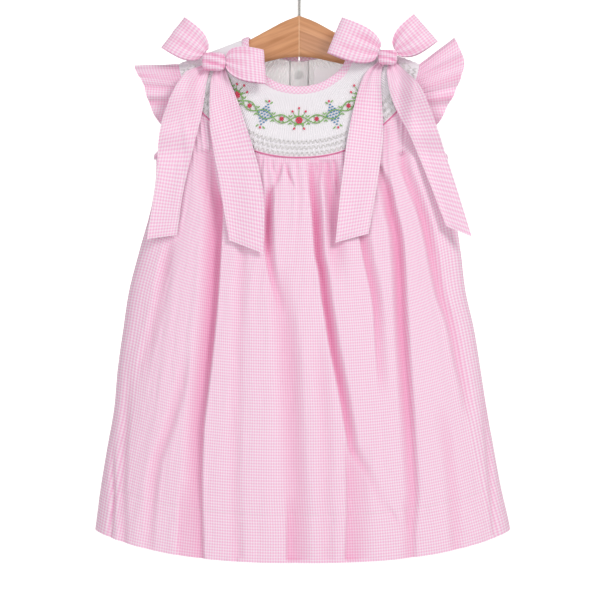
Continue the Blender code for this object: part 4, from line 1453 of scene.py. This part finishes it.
def loop(name, corners, knot_place, seed_place):
    """A ribbon loop: creases run out from the knot, and the edges curve in to it."""
    inner_high, inner_low, outer_high, outer_low = [Vector((x, 0, z)) for x, z in corners]
    level = knot_back(knot_place) - KNOT_THICK / 2
    begin = (1 + cos(radians(LOOP_TURN))) / 2
    run = (outer_high + outer_low - inner_high - inner_low).length / 2

    def section(turn):
        reach = (1 + cos(turn)) / 2
        length = (reach - begin) / (1 - begin)
        return length, LOOP_THICK * sin(turn) * max(reach, 0) ** 0.30 + 0.5 * sin(turn / 2)

    def place(turn, v):
        length, height = section(turn)
        ahead, rise = section(turn + 0.02)
        tangent = Vector(((ahead - length) * run, rise - height)).normalized()
        edge = mix(mix(inner_high, outer_high, length), mix(inner_low, outer_low, length), v)
        way = (mix(outer_high, outer_low, v) - mix(inner_high, inner_low, v)).normalized()
        side = (outer_low - outer_high).normalized()
        bow = LOOP_BELLY * sin(pi * clamp(length) ** 0.6) * (v - 0.5) * 2
        gathered = (0.5 + 0.5 * cos(2 * pi * (2.7 * v + 0.2 * sin(turn) + 0.13 * seed_place))) ** 2
        creases = (3.4 * gathered - 1.6) * (1 - length) ** 1.3
        creases += 0.9 * noise(Vector((length * 1.6, v * 5.0, seed_place + turn * 0.3)))
        creases += 0.35 * noise(Vector((length * 4, v * 16.0, seed_place + turn)))
        face = way * tangent.y + Vector((0, -tangent.x, 0))
        out = face * (RIBBON_WALL * 0.7 + creases * 0.5)
        point = edge + side * bow + Vector((0, level + height, 0)) + out
        # Painted shade: the third part darkens the gingham in the hollows of the creases.
        return point, face, (v * RIBBON_WIDTH, turn / pi * run, 0.8 * clamp(-creases / 2.0))

    turns = steps(110, -radians(LOOP_TURN), radians(LOOP_TURN))
    cloth(name + "_ribbon", turns, steps(52), place, pink_gingham(), "ribbon", (name,))


def tail(name, rows, seed_place):
    """A ribbon tail: gathered at the knot, softly folded, with narrow hems and a slanted end."""
    table = [(k,) + row for k, row in enumerate(rows)]

    def place(u, v):
        spot = v * (len(rows) - 1)
        left = Vector((read(table, spot, 1), 0, -read(table, spot, 2)))
        right = Vector((read(table, spot, 3), 0, -read(table, spot, 4)))
        point = mix(left, right, u)
        lift = TAIL_LIFT + TAIL_RISE * smooth(4 * v - 0.4)
        lift += TAIL_FOLD * smooth(3 * v - 0.3) * (1 - cos(2 * pi * u + 5 * v)) / 2
        lift += RUFFLE_CLEARANCE * smooth((abs(point.x) - 108) / 18) * smooth((point.z + 235) / 30)
        turn = 2 * pi * (2.5 * u + 0.1 * seed_place)
        creases = 1.5 * cos(turn) * clamp(1 - v / 0.4) ** 1.5 * smooth(v * 14)
        creases += 0.8 * noise(Vector((u * 2.4, v * 4.0, seed_place))) * smooth(v * 6)
        creases += 0.25 * noise(Vector((u * 8.0 + v * 6, v * 22.0, seed_place + 2))) * smooth(v * 6)
        hem = 0.25 * smooth((abs(u - 0.5) - 0.44) * 50)
        wall = RIBBON_WALL * 0.6
        y = front_plane(point.x, point.z) - lift - wall - creases - hem
        wide = (right - left).length
        # Painted shade: the share of fold pink in the hollows of the creases, fading out down the tail.
        deep = 0.6 * clamp(-creases / 1.4) * clamp(1.2 - 2 * v)
        threads = ((u - 0.5) * max(wide, 30), v * TAIL_LENGTH, deep)
        return point + Vector((0, y, 0)), Vector((0, -1, 0)), threads

    piece = cloth(name + "_ribbon", steps(60), steps(170), place, pink_gingham(), "ribbon", (name,))
    bm = bmesh.new()
    edges = [[place(u, v)[:2] for v in steps(140, 0.10, 0.985)] for u in (0.05, 0.95)]
    edges.append([place(u, 0.985)[:2] for u in steps(20, 0.05, 0.95)])
    for path in edges:
        raised = [(point + face * 0.1, face) for point, face in path]
        stitches(bm, raised, *EDGE_STITCH, settings().thread * 1000)
    finish(name + "_stitches", bm, floss("floss_white"), "ribbon")


# Hanger


def hanger_wood():
    """The contoured wooden body: arms swept forward from a crease, a bevel along the lower edge."""
    rings = []
    threads = []
    for k in range(-70, 71):
        share = k / 70
        x = ARM_REACH * share * (1.6 - 0.6 * abs(share)) if abs(share) < 1 else ARM_REACH * share
        top = read(WOOD, abs(x), 1)
        bottom = read(WOOD, abs(x), 2)
        thick = mix(WOOD_THICK, WOOD_TIP_THICK, abs(x) / ARM_REACH)
        thick *= sqrt(clamp(1.06 - clamp((abs(x) - 100) / 13) ** 2))
        middle_y = -ARM_SWEEP * (abs(x) / ARM_REACH) ** 1.15
        ring = []
        for part in range(48):
            turn = 2 * pi * (part + 0.5) / 48
            y = abs(cos(turn)) ** 0.62 * (1 if cos(turn) > 0 else -1)
            z = abs(sin(turn)) ** 0.80 * (1 if sin(turn) > 0 else -1)
            bevel = 0.30 * smooth((-z - 0.80) / 0.20)
            y *= 1 - bevel
            ring.append(Vector((x, middle_y + y * thick / 2, -(top + bottom) / 2 + z * (bottom - top) / 2)))
        rings.append(ring)
        threads.append([(0, 0)] * 48)
    band("wood_body", rings, threads, beech(), "wood", ("hanger_wood",))


def hanger_hook():
    """The wire hook, with a rounded tip and its stem in the wood."""
    radius = HOOK_INNER + WIRE / 2
    centre = -HOOK_INNER
    turns = steps(70, radians(HOOK_TIP_ANGLE), radians(HOOK_LEAVE_ANGLE))
    points = [Vector((radius * cos(t), 0, centre + radius * sin(t))) for t in turns]
    heading = (points[-1] - points[-2]).normalized()
    leave = points[-1]
    arrive = Vector((0, 0, STEM_TOP))
    for share in steps(24)[1:]:
        first = leave + heading * STEM_PULL
        second = arrive + Vector((0, 0, STEM_PULL))
        a, b, c = mix(leave, first, share), mix(first, second, share), mix(second, arrive, share)
        points.append(mix(mix(a, b, share), mix(b, c, share), share))
    points.append(Vector((0, 0, WOOD_TOP - BORE_DEPTH + GAP)))
    tip = [0.35, 0.75, 0.93]
    radii = [WIRE / 2 * share for share in tip] + [WIRE / 2] * (len(points) - 3)
    bm = bmesh.new()
    tube(bm, points, radii, 20)
    finish("wire_hook", bm, drawn_steel(), "steel", ("hanger_hook",))


# Stage


def stage():
    """Pale floor that sweeps up far behind, soft light and the camera of the front view."""
    bm = bmesh.new()
    bmesh.ops.create_grid(bm, x_segments=2, y_segments=140, size=0.5)
    depth = 28.0
    for vert in bm.verts:
        way = (vert.co.y + 0.5) * depth
        bend = 2.0
        start_bend = 24.0
        turn = clamp((way - start_bend) / (bend * pi / 2)) * pi / 2
        rise = max(way - start_bend - bend * pi / 2, 0) * 5
        y = -20 + min(way, start_bend) + bend * sin(turn)
        vert.co = Vector((vert.co.x * 40, y, FLOOR_DROP + bend * (1 - cos(turn)) + rise))
    mesh = bpy.data.meshes.new("floor")
    bm.to_mesh(mesh)
    bm.free()
    mesh.shade_smooth()
    mesh.materials.append(backdrop())
    floor_piece = bpy.data.objects.new("floor", mesh)
    bpy.context.scene.collection.objects.link(floor_piece)

    world = bpy.data.worlds.new("studio")
    world.use_nodes = True
    sky = world.node_tree.nodes["Background"]
    sky.inputs["Color"].default_value = (1.0, 0.99, 0.985, 1.0)
    sky.inputs["Strength"].default_value = WORLD_LIGHT
    bpy.context.scene.world = world

    lamps = (
        ("key", (1.6, -2.1, 1.3), (0, 0, -0.38), 1.1, KEY_LIGHT, (1.0, 0.99, 0.97)),
        ("fill", (-1.1, -2.6, -0.05), (0, 0, -0.33), 1.8, FILL_LIGHT, (0.98, 0.99, 1.0)),
        ("wall_left", (-2.6, 1.6, 0.2), (-0.6, 7.5, -0.5), 2.0, WALL_LIGHT, (1.0, 1.0, 1.0)),
        ("wall_right", (2.6, 1.6, 0.2), (0.6, 7.5, -0.5), 2.0, WALL_LIGHT, (1.0, 1.0, 1.0)),
    )
    for name, place, aim, width, power, shade in lamps:
        lamp = bpy.data.lights.new(name, "AREA")
        lamp.shape = "DISK"
        lamp.size = width
        lamp.energy = power
        lamp.color = shade
        holder = bpy.data.objects.new(name, lamp)
        holder.location = place
        holder.rotation_euler = (Vector(aim) - Vector(place)).to_track_quat("-Z", "Y").to_euler()
        bpy.context.scene.collection.objects.link(holder)

    camera = bpy.data.cameras.new("camera")
    camera.sensor_width = 36
    camera.lens = CAMERA_LENS
    camera.clip_end = 100
    viewer = bpy.data.objects.new("camera", camera)
    viewer.location = (0.001, -CAMERA_AWAY, CAMERA_HEIGHT)
    viewer.rotation_euler = (pi / 2, 0, 0)
    bpy.context.scene.collection.objects.link(viewer)
    bpy.context.scene.camera = viewer
    bpy.context.scene.view_settings.view_transform = "Standard"


# Operators


class DRESS_OT_stage(bpy.types.Operator):
    """Make the floor, the lights and the camera"""

    bl_idname = "dress.stage"
    bl_label = "Stage"

    def execute(self, context):
        stage()
        return {"FINISHED"}


class DRESS_OT_hanger(bpy.types.Operator):
    """Make the wooden hanger and its wire hook"""

    bl_idname = "dress.hanger"
    bl_label = "Hanger"

    def execute(self, context):
        hanger_wood()
        hanger_hook()
        return {"FINISHED"}


class DRESS_OT_bodice(bpy.types.Operator):
    """Make the bib, the back bodice, the placket, the label, the binding and the piping"""

    bl_idname = "dress.bodice"
    bl_label = "Bodice"

    def execute(self, context):
        bib_front()
        bib_back("bib_back_left", -1)
        bib_back("bib_back_right", 1)
        placket()
        label()
        neck_binding()
        bib_piping()
        return {"FINISHED"}


class DRESS_OT_buttons(bpy.types.Operator):
    """Make the pearl buttons of the placket"""

    bl_idname = "dress.buttons"
    bl_label = "Buttons"

    def execute(self, context):
        for number, drop in enumerate(BUTTON_DROPS, 1):
            button("pearl_button_{}".format(number), drop, "button_{}".format(number))
        return {"FINISHED"}


class DRESS_OT_embroidery(bpy.types.Operator):
    """Make the smocking stitches, the vine and the blossoms on the bib"""

    bl_idname = "dress.embroidery"
    bl_label = "Embroidery"

    def execute(self, context):
        smocking_rows()
        vine()
        blossoms()
        return {"FINISHED"}


class DRESS_OT_skirt(bpy.types.Operator):
    """Make the gathered skirt panels and their hems"""

    bl_idname = "dress.skirt"
    bl_label = "Skirt"

    def execute(self, context):
        skirt("front_panel", FRONT, 3.1, 330, 103, "skirt_front")
        skirt("back_panel", BACK, 41.7, 230, 90, "skirt_back")
        return {"FINISHED"}


class DRESS_OT_armholes(bpy.types.Operator):
    """Make the flutter sleeves and the rolled edges under the arms"""

    bl_idname = "dress.armholes"
    bl_label = "Armholes"

    def execute(self, context):
        for side, hand in (("left", -1), ("right", 1)):
            ruffle("ruffle_" + side, hand)
            arm_binding("arm_binding_" + side, hand)
        return {"FINISHED"}


class DRESS_OT_bows(bpy.types.Operator):
    """Make the knots, loops and tails of both bows"""

    bl_idname = "dress.bows"
    bl_label = "Bows"

    def execute(self, context):
        for number, (name, sizes) in enumerate(BOWS.items()):
            knot(name + "_band", sizes["knot"], name + "_knot")
            for other, side in enumerate(("left", "right")):
                seed_place = 7.3 * number + 3.1 * other
                loop(name + "_loop_" + side, sizes["loop_" + side], sizes["knot"], seed_place)
                tail(name + "_tail_" + side, sizes["tail_" + side], seed_place)
        return {"FINISHED"}


OPERATORS = (
    DRESS_OT_stage,
    DRESS_OT_hanger,
    DRESS_OT_bodice,
    DRESS_OT_buttons,
    DRESS_OT_embroidery,
    DRESS_OT_skirt,
    DRESS_OT_armholes,
    DRESS_OT_bows,
)


class DRESS_PT_panel(bpy.types.Panel):
    """Sizes, colours and pieces of the dress"""

    bl_label = "Smocked dress"
    bl_idname = "DRESS_PT_panel"
    bl_space_type = "VIEW_3D"
    bl_region_type = "UI"
    bl_category = "Dress"

    def draw(self, context):
        for key in DressSettings.__annotations__:
            self.layout.prop(context.scene.dress, key)
        for operator in OPERATORS:
            self.layout.operator(operator.bl_idname)


def register():
    for item in (DressSettings,) + OPERATORS + (DRESS_PT_panel,):
        bpy.utils.register_class(item)
    bpy.types.Scene.dress = bpy.props.PointerProperty(type=DressSettings)


def unregister():
    del bpy.types.Scene.dress
    for item in reversed((DressSettings,) + OPERATORS + (DRESS_PT_panel,)):
        bpy.utils.unregister_class(item)


def main():
    register()
    bpy.ops.dress.stage()
    bpy.ops.dress.hanger()
    bpy.ops.dress.bodice()
    bpy.ops.dress.buttons()
    bpy.ops.dress.embroidery()
    bpy.ops.dress.skirt()
    bpy.ops.dress.armholes()
    bpy.ops.dress.bows()


if __name__ == "__main__":
    main()
